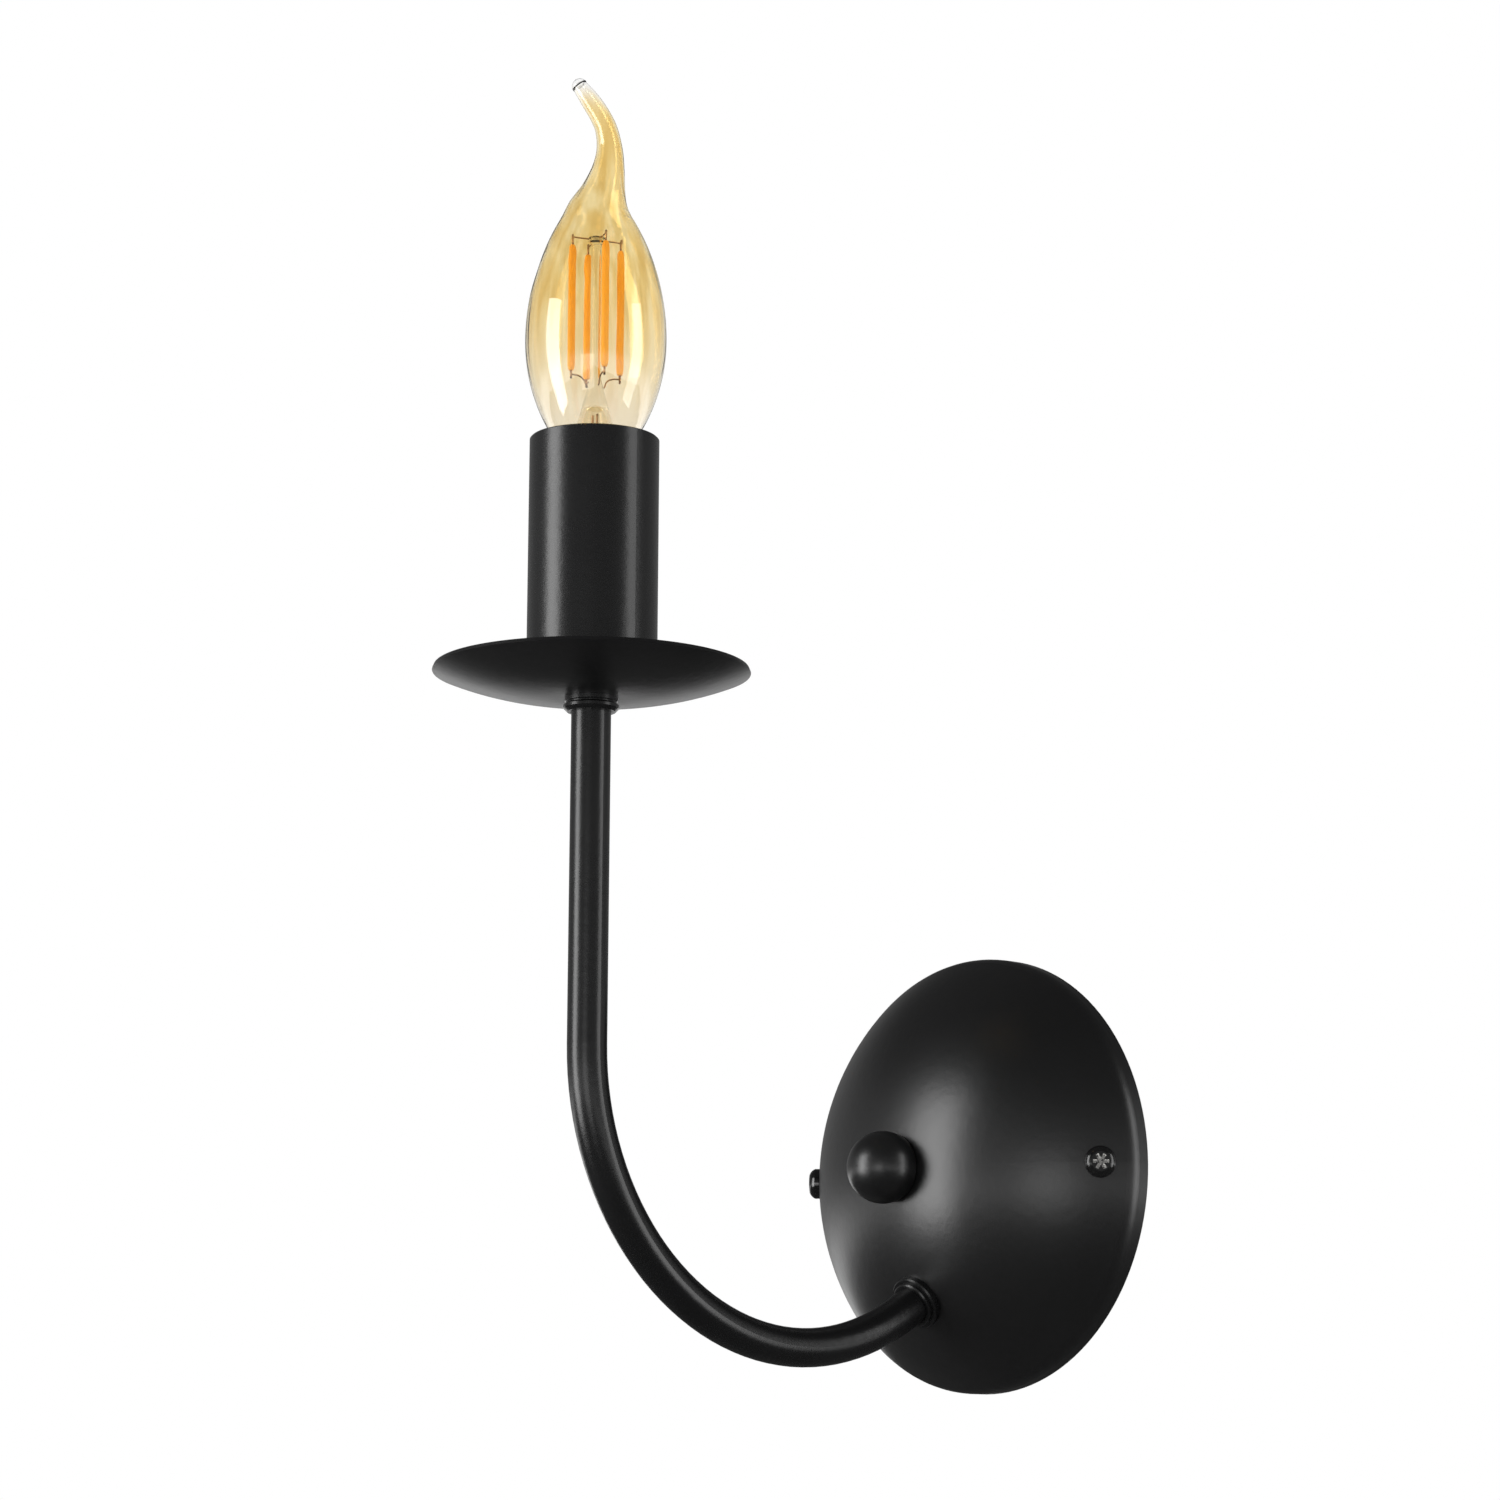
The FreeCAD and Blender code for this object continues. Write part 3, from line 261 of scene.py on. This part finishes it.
def moulded(name, color, roughness, grainSize=1500.0):       # moulded plastic with a fine texture
    finish = Finish(name)
    cloud = finish.noise(*plastic["cloud"])
    grain = finish.noise(grainSize, plastic["detail"])
    finish.set(Base_Color=finish.mix(cloud, color, shade(color, plastic["share"])),
               Roughness=roughness + grain * plastic["rougher"], Normal=finish.bump(grain, *plastic["bump"]))
    return finish.material


screws = {
    "side": 0.0533,                          # the middle of a head, from the canopy's axis and from the wall
    "depth": 0.0130,
    "axis": (0.743, 0.67),                   # the way a screw points, outwards and forwards
    "wear": (1500.0, 4.0, 0.7),
    "cloud": (400.0, 3.0),
    "wearGlintEdge": (0.44, 0.16),
    "wearGlintRadius": (0.0024, 0.0004),          # bare metal, which also stands as a painted glint, lies inside this radius and below this height
    "wearGlintHeight": (0.0004, 0.0003),
    "black": (0.006, 0.006, 0.006, 1),
    # worn metal grey, partly a painted glint
    "bareAndGlint": (0.55, 0.54, 0.52, 1),
    "roughness": 0.12,
    "rougher": 0.08,
    "bump": (0.12, 0.0001),
}


def glossScrew():                # glossy black screws, worn bright in and round the recess; the bright metal there is partly a painted glint on the recess edges
    finish = Finish("glossScrew")
    wear = finish.noise(*screws["wear"])
    cloud = finish.noise(*screws["cloud"])
    x, y, z = finish.split(finish.coords)
    side = x.calc("ABSOLUTE") - screws["side"]
    front = y + screws["depth"]
    distance = (side * side + front * front + z * z).calc("SQRT")
    height = side * screws["axis"][0] - front * screws["axis"][1]
    near = (1.0 - distance.above(*screws["wearGlintRadius"])) * (1.0 - height.above(*screws["wearGlintHeight"]))
    # wear in and round the recess, partly a painted glint on its edges
    wearAndGlint = wear.above(*screws["wearGlintEdge"]) * near
    finish.set(Base_Color=finish.mix(wearAndGlint, screws["black"], screws["bareAndGlint"]), Metallic=wearAndGlint,
               Roughness=screws["roughness"] + cloud * screws["rougher"],
               Normal=finish.bump(wear, *screws["bump"]))
    return finish.material


glass = {
    "amber": (0.855, 0.690, 0.365, 1),
    "light": (0.955, 0.850, 0.590, 1),
    "pale": (0.950, 0.900, 0.800, 1),
    "clear": (0.990, 0.990, 0.985, 1),
    "ior": 1.47,
    "amberEdge": (0.026, 0.046),             # above the neck's rim
    "clearEdge": (0.0050, 0.0090),           # below the tip's end
    "streak": (26.0, 3.0, 0.5),
    "streakStretch": (13, 13, 0.6),
    "streakEdge": (0.5, 0.24),
    "ripple": (45.0, 2.0, 0.5),
    "rippleStretch": (4, 4, 0.4),
    "bump": (0.16, 0.0006),
}


def amberGlass(low, high):       # amber, paler towards the neck and clear at the very tip
    finish = Finish("amberGlass")
    height = finish.split(finish.coords)[2]
    amberPlace, amberWidth = glass["amberEdge"]
    clearPlace, clearWidth = glass["clearEdge"]
    amber = height.above(low + amberPlace, amberWidth)
    tip = height.above(high - clearPlace, clearWidth)
    streak = finish.noise(*glass["streak"], finish.stretched(glass["streakStretch"]))
    body = finish.mix(streak.above(*glass["streakEdge"]), glass["amber"], glass["light"])
    color = finish.mix(tip, finish.mix(amber, glass["pale"], body), glass["clear"])
    ripple = finish.noise(*glass["ripple"], finish.stretched(glass["rippleStretch"]))
    finish.set(Base_Color=color, Roughness=0.0, Transmission_Weight=1.0, IOR=glass["ior"],
               Normal=finish.bump(ripple, *glass["bump"]))
    return finish.material


stemGlass = {
    "ripple": (320.0, 2.0),
    "dark": (0.86, 0.81, 0.70, 1),
    "light": (0.94, 0.91, 0.83, 1),
    "roughness": 0.02,
    "bump": (0.1, 0.0004),
}


def clearGlass():
    finish = Finish("clearGlass")
    ripple = finish.noise(*stemGlass["ripple"])
    finish.set(Base_Color=finish.mix(ripple, stemGlass["dark"], stemGlass["light"]),
               Roughness=stemGlass["roughness"], Transmission_Weight=1.0, IOR=glass["ior"],
               Normal=finish.bump(ripple, *stemGlass["bump"]))
    return finish.material


gelCoat = {
    "cloud": (700.0, 3.0),
    "dark": (0.79, 0.33, 0.001, 1),
    "light": (0.86, 0.38, 0.003, 1),
    "roughness": 0.42,
    "rougher": 0.1,
    # painted glow: emission that stands in for light the glass keeps from the strips
    "glow": 0.50,
    "bump": (0.15, 0.0002),
}


def filamentGel():               # the orange gel over a light strip, with a painted glow that stands in for light the glass shadows
    finish = Finish("filamentGel")
    cloud = finish.noise(*gelCoat["cloud"])
    color = finish.mix(cloud, gelCoat["dark"], gelCoat["light"])
    finish.set(Base_Color=color, Roughness=gelCoat["roughness"] + cloud * gelCoat["rougher"],
               Emission_Color=color, Emission_Strength=gelCoat["glow"],
               Normal=finish.bump(cloud, *gelCoat["bump"]))
    return finish.material


jacket = {
    "grain": (900.0, 2.0),
    "share": 0.85,
    "stripes": 900.0,                        # how fast the stripes follow each other
    "stripeEdge": (0.35, 0.1),
    "roughness": 0.40,
    "rougher": 0.08,
    "bump": (0.08, 0.0001),
}


def wirePlastic(name, color, stripe=None):
    finish = Finish(name)
    grain = finish.noise(*jacket["grain"])
    shown = finish.mix(grain, color, shade(color, jacket["share"]))
    if stripe:
        x, y, z = finish.split(finish.coords)
        band = ((x + y + z) * jacket["stripes"]).calc("SINE").above(*jacket["stripeEdge"])
        shown = finish.mix(band, shown, stripe)
    finish.set(Base_Color=shown, Roughness=jacket["roughness"] + grain * jacket["rougher"],
               Normal=finish.bump(grain, *jacket["bump"]))
    return finish.material


def dress(material, *nodes):     # give CAD nodes their finish
    for name in nodes:
        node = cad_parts[name]
        node.data.materials.clear()
        node.data.materials.append(material)


lampGlass = {                    # lengths in mm
    "wide": 18.0,                # largest radius
    "neck": 8.2,
    "neckLength": 4.2,
    "neckRings": (2.2, 0.9),     # below the shoulder
    "shoulder": 28.0,            # from the widest section down to the shoulder
    "shoulderEdge": 0.3,
    "lowerArc": 47.4,
    "lowerRings": 28,
    "upperArc": 64.0,
    "upperRings": 24,
    "tipStart": 31.0,            # from the widest section up to where the tip is drawn out
    "tipLength": 37.0,
    "tipBend": 4.9,
    "bendSide": 47.7,            # degrees from +x towards +y
    "wall": 0.55,
    "sides": 96,
    "rings": 110,                # along the drawn-out tip
    "tip": ((-0.04, 0.0, 0.597), (0.0, 0.0, 0.556), (0.04, 0.03, 0.511), (0.11, 0.11, 0.450),
            (0.25, 0.32, 0.324), (0.40, 0.53, 0.238), (0.54, 0.59, 0.189), (0.69, 0.40, 0.159),
            (0.80, 0.02, 0.148), (0.91, -0.51, 0.136), (1.0, -1.0, 0.108)),
    "leanReach": 0.01,           # share of the tip either side of a ring that its lean is read from
    "leanStart": 0.12,           # share of the tip over which the rings take up the lean
    "beadGrowth": 1.08,
    "beadRings": 11,
    "beadLead": 2,               # rings that lead into the bead
    "beadStep": 0.04,            # between them, as a share of the bead's radius
    "folds": ((0.4, 1.0), (1.5, 0.8), (2.75, 1.0), (4.1, 0.7), (5.2, 0.9)),    # angle round, depth
    "foldWidth": 0.30,           # shallow creases that run up into the tip, turning with height
    "foldDepth": 0.055,
    "foldStart": 0.15,           # shares of the height above the widest section
    "foldRise": 0.35,
    "foldEnd": 0.90,
    "foldFall": 0.30,
    "twist": 0.5,
    "twistMiddle": 0.4,
}


def tipSection(share):           # the tip's middle, sideways, and its radius at a share of its length
    rows = lampGlass["tip"]
    index = 1
    while index < len(rows) - 2 and share > rows[index + 1][0]:
        index += 1
    before, first, second = rows[index - 1], rows[index], rows[index + 1]
    after = rows[min(index + 2, len(rows) - 1)]
    span = second[0] - first[0]
    t = (share - first[0]) / span
    values = []
    for part in (1, 2):
        slopeFirst = (second[part] - before[part]) / (second[0] - before[0]) * span
        slopeSecond = (after[part] - first[part]) / (after[0] - first[0]) * span
        values.append((2 * t**3 - 3 * t**2 + 1) * first[part] + (t**3 - 2 * t**2 + t) * slopeFirst
                      + (-2 * t**3 + 3 * t**2) * second[part] + (t**3 - t**2) * slopeSecond)
    return values[0] * lampGlass["tipBend"], values[1] * lampGlass["wide"]


def smooth(share):
    share = min(max(share, 0.0), 1.0)
    return share * share * (3 - 2 * share)


def merge(target, extra):        # add one mesh to another
    mesh = bpy.data.meshes.new("part")
    extra.to_mesh(mesh)
    extra.free()
    target.from_mesh(mesh)
    bpy.data.meshes.remove(mesh)


def finishMesh(name, shape, material, body, old):      # make the object that takes a CAD node's place
    mesh = bpy.data.meshes.new(name)
    shape.to_mesh(mesh)
    shape.free()
    piece = bpy.data.objects.new(name, mesh)
    scene.collection.objects.link(piece)
    mesh.materials.append(material)
    mesh.polygons.foreach_set("use_smooth", [True] * len(mesh.polygons))
    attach(piece, body)
    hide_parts(old)
    return piece


def turnProfile(shape, rows, sides):     # turn (radius, height) rows in mm about z
    verts = [shape.verts.new((radius * mm, 0, height * mm)) for radius, height in rows]
    for first, second in zip(verts, verts[1:]):
        shape.edges.new((first, second))
    geometry = verts + list(shape.edges)
    bmesh.ops.spin(shape, geom=geometry, cent=(0, 0, 0), axis=(0, 0, 1), angle=math.tau, steps=sides,
                   use_merge=True, use_duplicate=False)
    bmesh.ops.remove_doubles(shape, verts=shape.verts[:], dist=1e-6)


def drawOn(shape, ring, change):         # extrude a ring of edges and move the new ring
    made = bmesh.ops.extrude_edge_only(shape, edges=ring)["geom"]
    fresh = {item for item in made if isinstance(item, bmesh.types.BMVert)}
    edges = [item for item in made if isinstance(item, bmesh.types.BMEdge)
             and all(vert in fresh for vert in item.verts)]
    bmesh.ops.transform(shape, matrix=change, verts=list(fresh))
    return edges


def bulbRows():                  # the turned part of the bulb, from the neck's rim up to where the tip starts
    spec = lampGlass
    wide, lower, upper = spec["wide"], spec["lowerArc"], spec["upperArc"]
    shoulder, edge = -spec["shoulder"], spec["shoulderEdge"]
    rows = [(spec["neck"], shoulder - below) for below in (spec["neckLength"], *spec["neckRings"])]
    for step in range(spec["lowerRings"]):
        height = shoulder + edge + (spec["shoulder"] - edge) * step / spec["lowerRings"]
        rows.append((wide - lower + math.sqrt(lower * lower - height * height), height))
    for step in range(spec["upperRings"] + 1):
        height = spec["tipStart"] * step / spec["upperRings"]
        rows.append((wide - upper + math.sqrt(upper * upper - height * height), height))
    return rows


def drawTip(shape, ring, centre, radius):        # the bent tip; gives its last ring, place, radius and lean
    spec = lampGlass
    tilt = 0.0
    for step in range(1, spec["rings"] + 1):
        share = step / spec["rings"]
        offset, ringRadius = tipSection(share)
        past = min(share + spec["leanReach"], 1.0)
        ahead, back = tipSection(past)[0], tipSection(share - spec["leanReach"])[0]
        lean = math.atan2(ahead - back, (past - share + spec["leanReach"]) * spec["tipLength"])
        lean *= min(share / spec["leanStart"], 1.0)
        goal = Vector((offset * mm, 0, (spec["tipStart"] + share * spec["tipLength"]) * mm))
        change = (Matrix.Translation(goal) @ Matrix.Rotation(lean - tilt, 4, "Y")
                  @ Matrix.Scale(ringRadius / radius, 4) @ Matrix.Translation(-centre))
        ring = drawOn(shape, ring, change)
        centre, radius, tilt = goal, ringRadius, lean
    return ring, centre, radius, tilt


def closeBead(shape, ring, centre, radius, tilt):            # a round bead closes the tip
    spec = lampGlass
    outward = Matrix.Rotation(tilt, 4, "Y") @ Vector((0, 0, 1))
    end = centre.copy()
    bead = radius * spec["beadGrowth"]
    for step in range(-spec["beadLead"], spec["beadRings"]):
        angle = math.radians(90 * step / spec["beadRings"])
        goal = end + outward * (bead * math.sin(angle) * mm)
        if step <= 0:
            goal = end + outward * (bead * spec["beadStep"] * (step + spec["beadLead"] + 1) * mm)
        wanted = bead * math.cos(angle)
        ring = drawOn(shape, ring, Matrix.Translation(goal) @ Matrix.Scale(wanted / radius, 4)
                      @ Matrix.Translation(-centre))
        centre, radius = goal, wanted
    bmesh.ops.holes_fill(shape, edges=ring)


def foldGlass(shape):            # the folds fade in above the bulge and out again along the tip
    spec = lampGlass
    reach = spec["tipStart"] + spec["tipLength"]
    for vert in shape.verts:
        height = vert.co.z / mm
        share = height / reach
        if not spec["foldStart"] < share < spec["foldEnd"]:
            continue
        fade = (smooth((share - spec["foldStart"]) / spec["foldRise"])
                * smooth((spec["foldEnd"] - share) / spec["foldFall"]))
        offset = 0.0
        if height > spec["tipStart"]:
            offset = tipSection((height - spec["tipStart"]) / spec["tipLength"])[0]
        arm = Vector((vert.co.x - offset * mm, vert.co.y, 0))
        angle = math.atan2(arm.y, arm.x) + math.tau * spec["twist"] * (share - spec["twistMiddle"])
        crease = 0.0
        for around, depth in spec["folds"]:
            away = (angle - around + math.pi) % math.tau - math.pi
            crease += depth * math.exp(-(away / spec["foldWidth"]) ** 2)
        vert.co -= arm * (spec["foldDepth"] * fade * crease)


def makeGlass():
    spec = lampGlass
    rows = bulbRows()
    shape = bmesh.new()
    turnProfile(shape, rows, spec["sides"])
    top = rows[-1][1] * mm
    ring = [edge for edge in shape.edges if all(abs(vert.co.z - top) < 1e-7 for vert in edge.verts)]
    closeBead(shape, *drawTip(shape, ring, Vector((0, 0, top)), rows[-1][0]))
    bmesh.ops.recalc_face_normals(shape, faces=shape.faces[:])
    foldGlass(shape)
    low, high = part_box("lamp_glass")
    bulge = low.z + (spec["shoulder"] + spec["neckLength"]) * mm
    turn = (Matrix.Translation((candleX, candleY, bulge))
            @ Matrix.Rotation(math.radians(spec["bendSide"]), 4, "Z"))
    bmesh.ops.transform(shape, matrix=turn, verts=shape.verts[:])
    piece = finishMesh("flameGlass", shape, amberGlass(low.z, high.z), "lamp", "lamp_glass")
    wall = piece.modifiers.new("wall", "SOLIDIFY")
    wall.thickness = spec["wall"] * mm
    wall.offset = -1.0
    print("glass blown")


lampInside = {                   # lengths in mm
    "circle": 6.6,               # radius of the circle that the rods stand on
    "turn": 22.0,                # degrees past the side of the bend
    "rodEnd": ((0.0, 0.0), (0.55, 0.0), (0.80, 0.5), (0.95, 1.6)),     # radius, way in from the rod's end
    "rodSides": 20,
    "thin": 0.2,                 # radius of the bent wires
    "post": 0.28,                # radius of the straight pins at the rods' ends
    "wireSides": 12,
    "armEnd": 2.2,               # the upper wires run from the circle in to this radius
    "armSteps": 8,
    "armDrop": 0.7,              # their height below the support's top
    "pinOverlap": 0.1,           # how far the pins go into a rod
    "footStart": 1.0,            # the lower wires leave the pins this far below the rods
    "footPin": 2.1,
    "foot": ((4.9, 1.1), (3.7, 1.5), (2.9, 2.3), (2.45, 3.6), (2.25, 3.7)),    # radius, way below the rods
}


def tube(shape, points, radius):         # a round wire along points, in metres
    direction = (points[1] - points[0]).normalized()
    made = bmesh.ops.create_circle(shape, cap_ends=True, segments=lampInside["wireSides"],
                                   radius=radius)["verts"]
    turn = direction.to_track_quat("Z", "Y").to_matrix().to_4x4()
    bmesh.ops.transform(shape, matrix=Matrix.Translation(points[0]) @ turn, verts=made)
    ring = list({edge for vert in made for edge in vert.link_edges})
    place, facing = points[0], direction
    for index in range(1, len(points)):
        ahead = (points[min(index + 1, len(points) - 1)] - points[index - 1]).normalized()
        bend = facing.rotation_difference(ahead).to_matrix().to_4x4()
        ring = drawOn(shape, ring, Matrix.Translation(points[index]) @ bend @ Matrix.Translation(-place))
        place, facing = points[index], ahead
    bmesh.ops.holes_fill(shape, edges=ring)


def fromAxis(out, radius, height):       # a point off the candle's axis, from mm to metres
    return Vector((candleX, candleY, 0)) + out * (radius * mm) + Vector((0, 0, height * mm))


def makeInside(lead, gel):
    spec = lampInside
    rods, support, feet = bmesh.new(), bmesh.new(), bmesh.new()
    low, high = [corner.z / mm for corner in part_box("filaments")]
    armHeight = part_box("top_support")[1].z / mm - spec["armDrop"]
    circle, steps = spec["circle"], spec["armSteps"]
    rows = [(radius, low + inward) for radius, inward in spec["rodEnd"]]
    rows += [(radius, high - inward) for radius, inward in reversed(spec["rodEnd"])]
    for index in range(4):
        angle = math.radians(lampGlass["bendSide"] + spec["turn"] + 90 * index)
        out = Vector((math.cos(angle), math.sin(angle), 0))
        rod = bmesh.new()
        turnProfile(rod, rows, spec["rodSides"])
        bmesh.ops.translate(rod, verts=rod.verts[:], vec=fromAxis(out, circle, 0.0))
        merge(rods, rod)
        arm = [fromAxis(out, circle * (1 - step / steps) + spec["armEnd"] * step / steps, armHeight)
               for step in range(steps + 1)]
        tube(support, arm, spec["thin"] * mm)
        upperPin = [fromAxis(out, circle, high - spec["pinOverlap"]),
                    fromAxis(out, circle, armHeight + spec["armDrop"])]
        tube(support, upperPin, spec["post"] * mm)
        curve = [fromAxis(out, circle, low - spec["footStart"])]
        curve += [fromAxis(out, radius, low - below) for radius, below in spec["foot"]]
        tube(feet, curve, spec["thin"] * mm)
        lowerPin = [fromAxis(out, circle, low - spec["footPin"]),
                    fromAxis(out, circle, low + spec["pinOverlap"])]
        tube(feet, lowerPin, spec["post"] * mm)
    pieces = (("glowRods", rods, gel, "filament", "filaments"),
              ("topWires", support, lead, "lead_wire", "top_support"),
              ("footWires", feet, lead, "lead_wire", "foot_wires"))
    for name, shape, finish, slot, old in pieces:
        bmesh.ops.recalc_face_normals(shape, faces=shape.faces[:])
        finishMesh(name, shape, finish, "lamp", old)
    print("lamp filled")


studio = {
    "ambient": 0.50,             # soft light from all round
    "reflected": 0.27,           # how bright the room looks in gloss
    "horizon": 2.00,             # how bright it looks low down, where the wall meets the floor
    "horizonBand": (-0.12, 0.02),            # heights of a direction, from -1 straight down to 1 straight up
    "overhead": 0.25,            # share of the brightness left towards the ceiling
    "ceilingBand": (0.25, 0.55),
    "floorHeight": -0.36,
    "floorSize": 4.0,
    "floorColor": 0.80,
    "floorRoughness": 0.9,
    "floorGlow": 0.75,           # share of plain white in the floor that the camera sees
    "floorReflected": 0.08,
    "target": (0.0, -0.09, 0.10),
    # azimuth from the wall normal towards +x, height, distance, width, length, watts
    "softboxes": (
        ("leftBox", -24.0, -0.05, 1.15, 0.52, 1.45, 17.0),
        ("rightBox", 119.0, -0.05, 1.15, 0.42, 1.45, 6.5),
        ("frontBox", 34.0, -0.20, 1.15, 0.45, 0.45, 1.3),
    ),
}


def makeRoom():                  # white to the camera, soft light on surfaces, a dimmer room in reflections
    world = bpy.data.worlds.new("room")
    scene.world = world
    world.use_nodes = True
    room = Nodes(world.node_tree)
    ray = room.add("ShaderNodeLightPath", output="Is Camera Ray")
    seen = ray.calc("MAXIMUM", ray.sibling("Is Transmission Ray"))
    height = room.split(room.add("ShaderNodeTexCoord", output="Generated"))[2]
    horizon = height.ranged(*studio["horizonBand"], studio["horizon"], studio["reflected"])
    ceiling = height.ranged(*studio["ceilingBand"], 1.0, studio["overhead"])
    level = (horizon * ceiling - studio["ambient"]) * ray.sibling("Is Glossy Ray") + studio["ambient"]
    strength = room.add("ShaderNodeMix", inputs={0: seen, 2: level, 3: 1.0})
    room.feed(room.tree.nodes["Background"], {"Strength": strength, "Color": grey(1.0)})


def makeFloor():
    shape = bmesh.new()
    bmesh.ops.create_grid(shape, x_segments=1, y_segments=1, size=studio["floorSize"] / 2)
    mesh = bpy.data.meshes.new("floor")
    shape.to_mesh(mesh)
    shape.free()
    floor = bpy.data.objects.new("floor", mesh)
    floor.location.z = studio["floorHeight"]
    scene.collection.objects.link(floor)
    paper = Finish("paper")
    paper.set(Base_Color=grey(studio["floorColor"]), Roughness=studio["floorRoughness"])
    path = paper.add("ShaderNodeLightPath")
    surface = Link(paper, paper.shader.outputs[0])
    for ray, share, level in (("Is Camera Ray", studio["floorGlow"], 1.0),
                              ("Is Glossy Ray", 1.0, studio["floorReflected"])):
        glow = paper.add("ShaderNodeEmission", inputs={"Strength": level})
        surface = paper.add("ShaderNodeMixShader", inputs={0: path.sibling(ray) * share, 1: surface, 2: glow})
    paper.feed(paper.tree.nodes["Material Output"], {0: surface})
    mesh.materials.append(paper.material)


def makeLights():
    target = Vector(studio["target"])
    for name, azimuth, height, distance, width, length, power in studio["softboxes"]:
        light = bpy.data.lights.new(name, "AREA")
        light.shape = "RECTANGLE"
        light.size = width
        light.size_y = length
        light.energy = power
        box = bpy.data.objects.new(name, light)
        angle = math.radians(azimuth)
        away = Vector((math.sin(angle), -math.cos(angle), 0))
        spot = target + away * distance + Vector((0, 0, height))
        facing = (spot - target).to_track_quat("Z", "Y").to_matrix().to_4x4()
        box.matrix_world = Matrix.Translation(spot) @ facing
        scene.collection.objects.link(box)


def makeStudio():
    makeRoom()
    makeFloor()
    makeLights()
    scene.view_settings.view_transform = "Standard"
    print("studio lit")


def dressFrame(lead, gel, clear):
    dress(blackCoat("satinCoat", 0.235, 0.40), "arm_tube", "arm_collar", "dish_collar", "candle_sleeve")
    dress(blackCoat("softCoat", 0.30, 0.56), "canopy", "knob_ball", "candle_dish")
    dress(platedSteel("bracketZinc", 0.70, 0.24, (8, 1, 1)), "wall_bracket")
    dress(platedSteel("fastenerZinc", 0.66, 0.22), "knob_stud", "knob_washer", "knob_nut", "arm_washer",
          "arm_nut", "dish_nut", "terminal_screws", "block_screws", "earth_washer")
    dress(glossScrew(), "canopy_screws")
    dress(moulded("holderCream", (0.80, 0.78, 0.72, 1), 0.40), "holder_base", "holder_body")
    dress(yellowMetal("brass", (0.83, 0.62, 0.28, 1), 0.22), "screw_shell", "centre_contact", "contact_rivet",
          "live_terminal", "neutral_terminal", "block_inserts", "earth_screw")
    dress(platedSteel("nickel", 0.80, 0.14), "lamp_cap", "contact_tip")
    dress(moulded("capGlass", (0.015, 0.014, 0.018, 1), 0.12, 500.0), "cap_insulator")
    dress(gel, "filaments")
    dress(lead, "top_support", "foot_wires", "lead_wires")
    dress(clear, "glass_stem")
    dress(moulded("blockNylon", (0.86, 0.86, 0.83, 1), 0.46), "terminal_block")
    dress(wirePlastic("brownWire", (0.16, 0.055, 0.02, 1)), "live_wire")
    dress(wirePlastic("blueWire", (0.02, 0.09, 0.42, 1)), "neutral_wire")
    dress(wirePlastic("greenWire", (0.05, 0.30, 0.04, 1), (0.80, 0.68, 0.04, 1)), "earth_wire")
    print("frame dressed")


makeCamera()
makeStudio()
lead = yellowMetal("leadCopper", (0.52, 0.34, 0.22, 1), 0.26)
gel = filamentGel()
clear = clearGlass()
dressFrame(lead, gel, clear)
makeGlass()
makeInside(lead, gel)
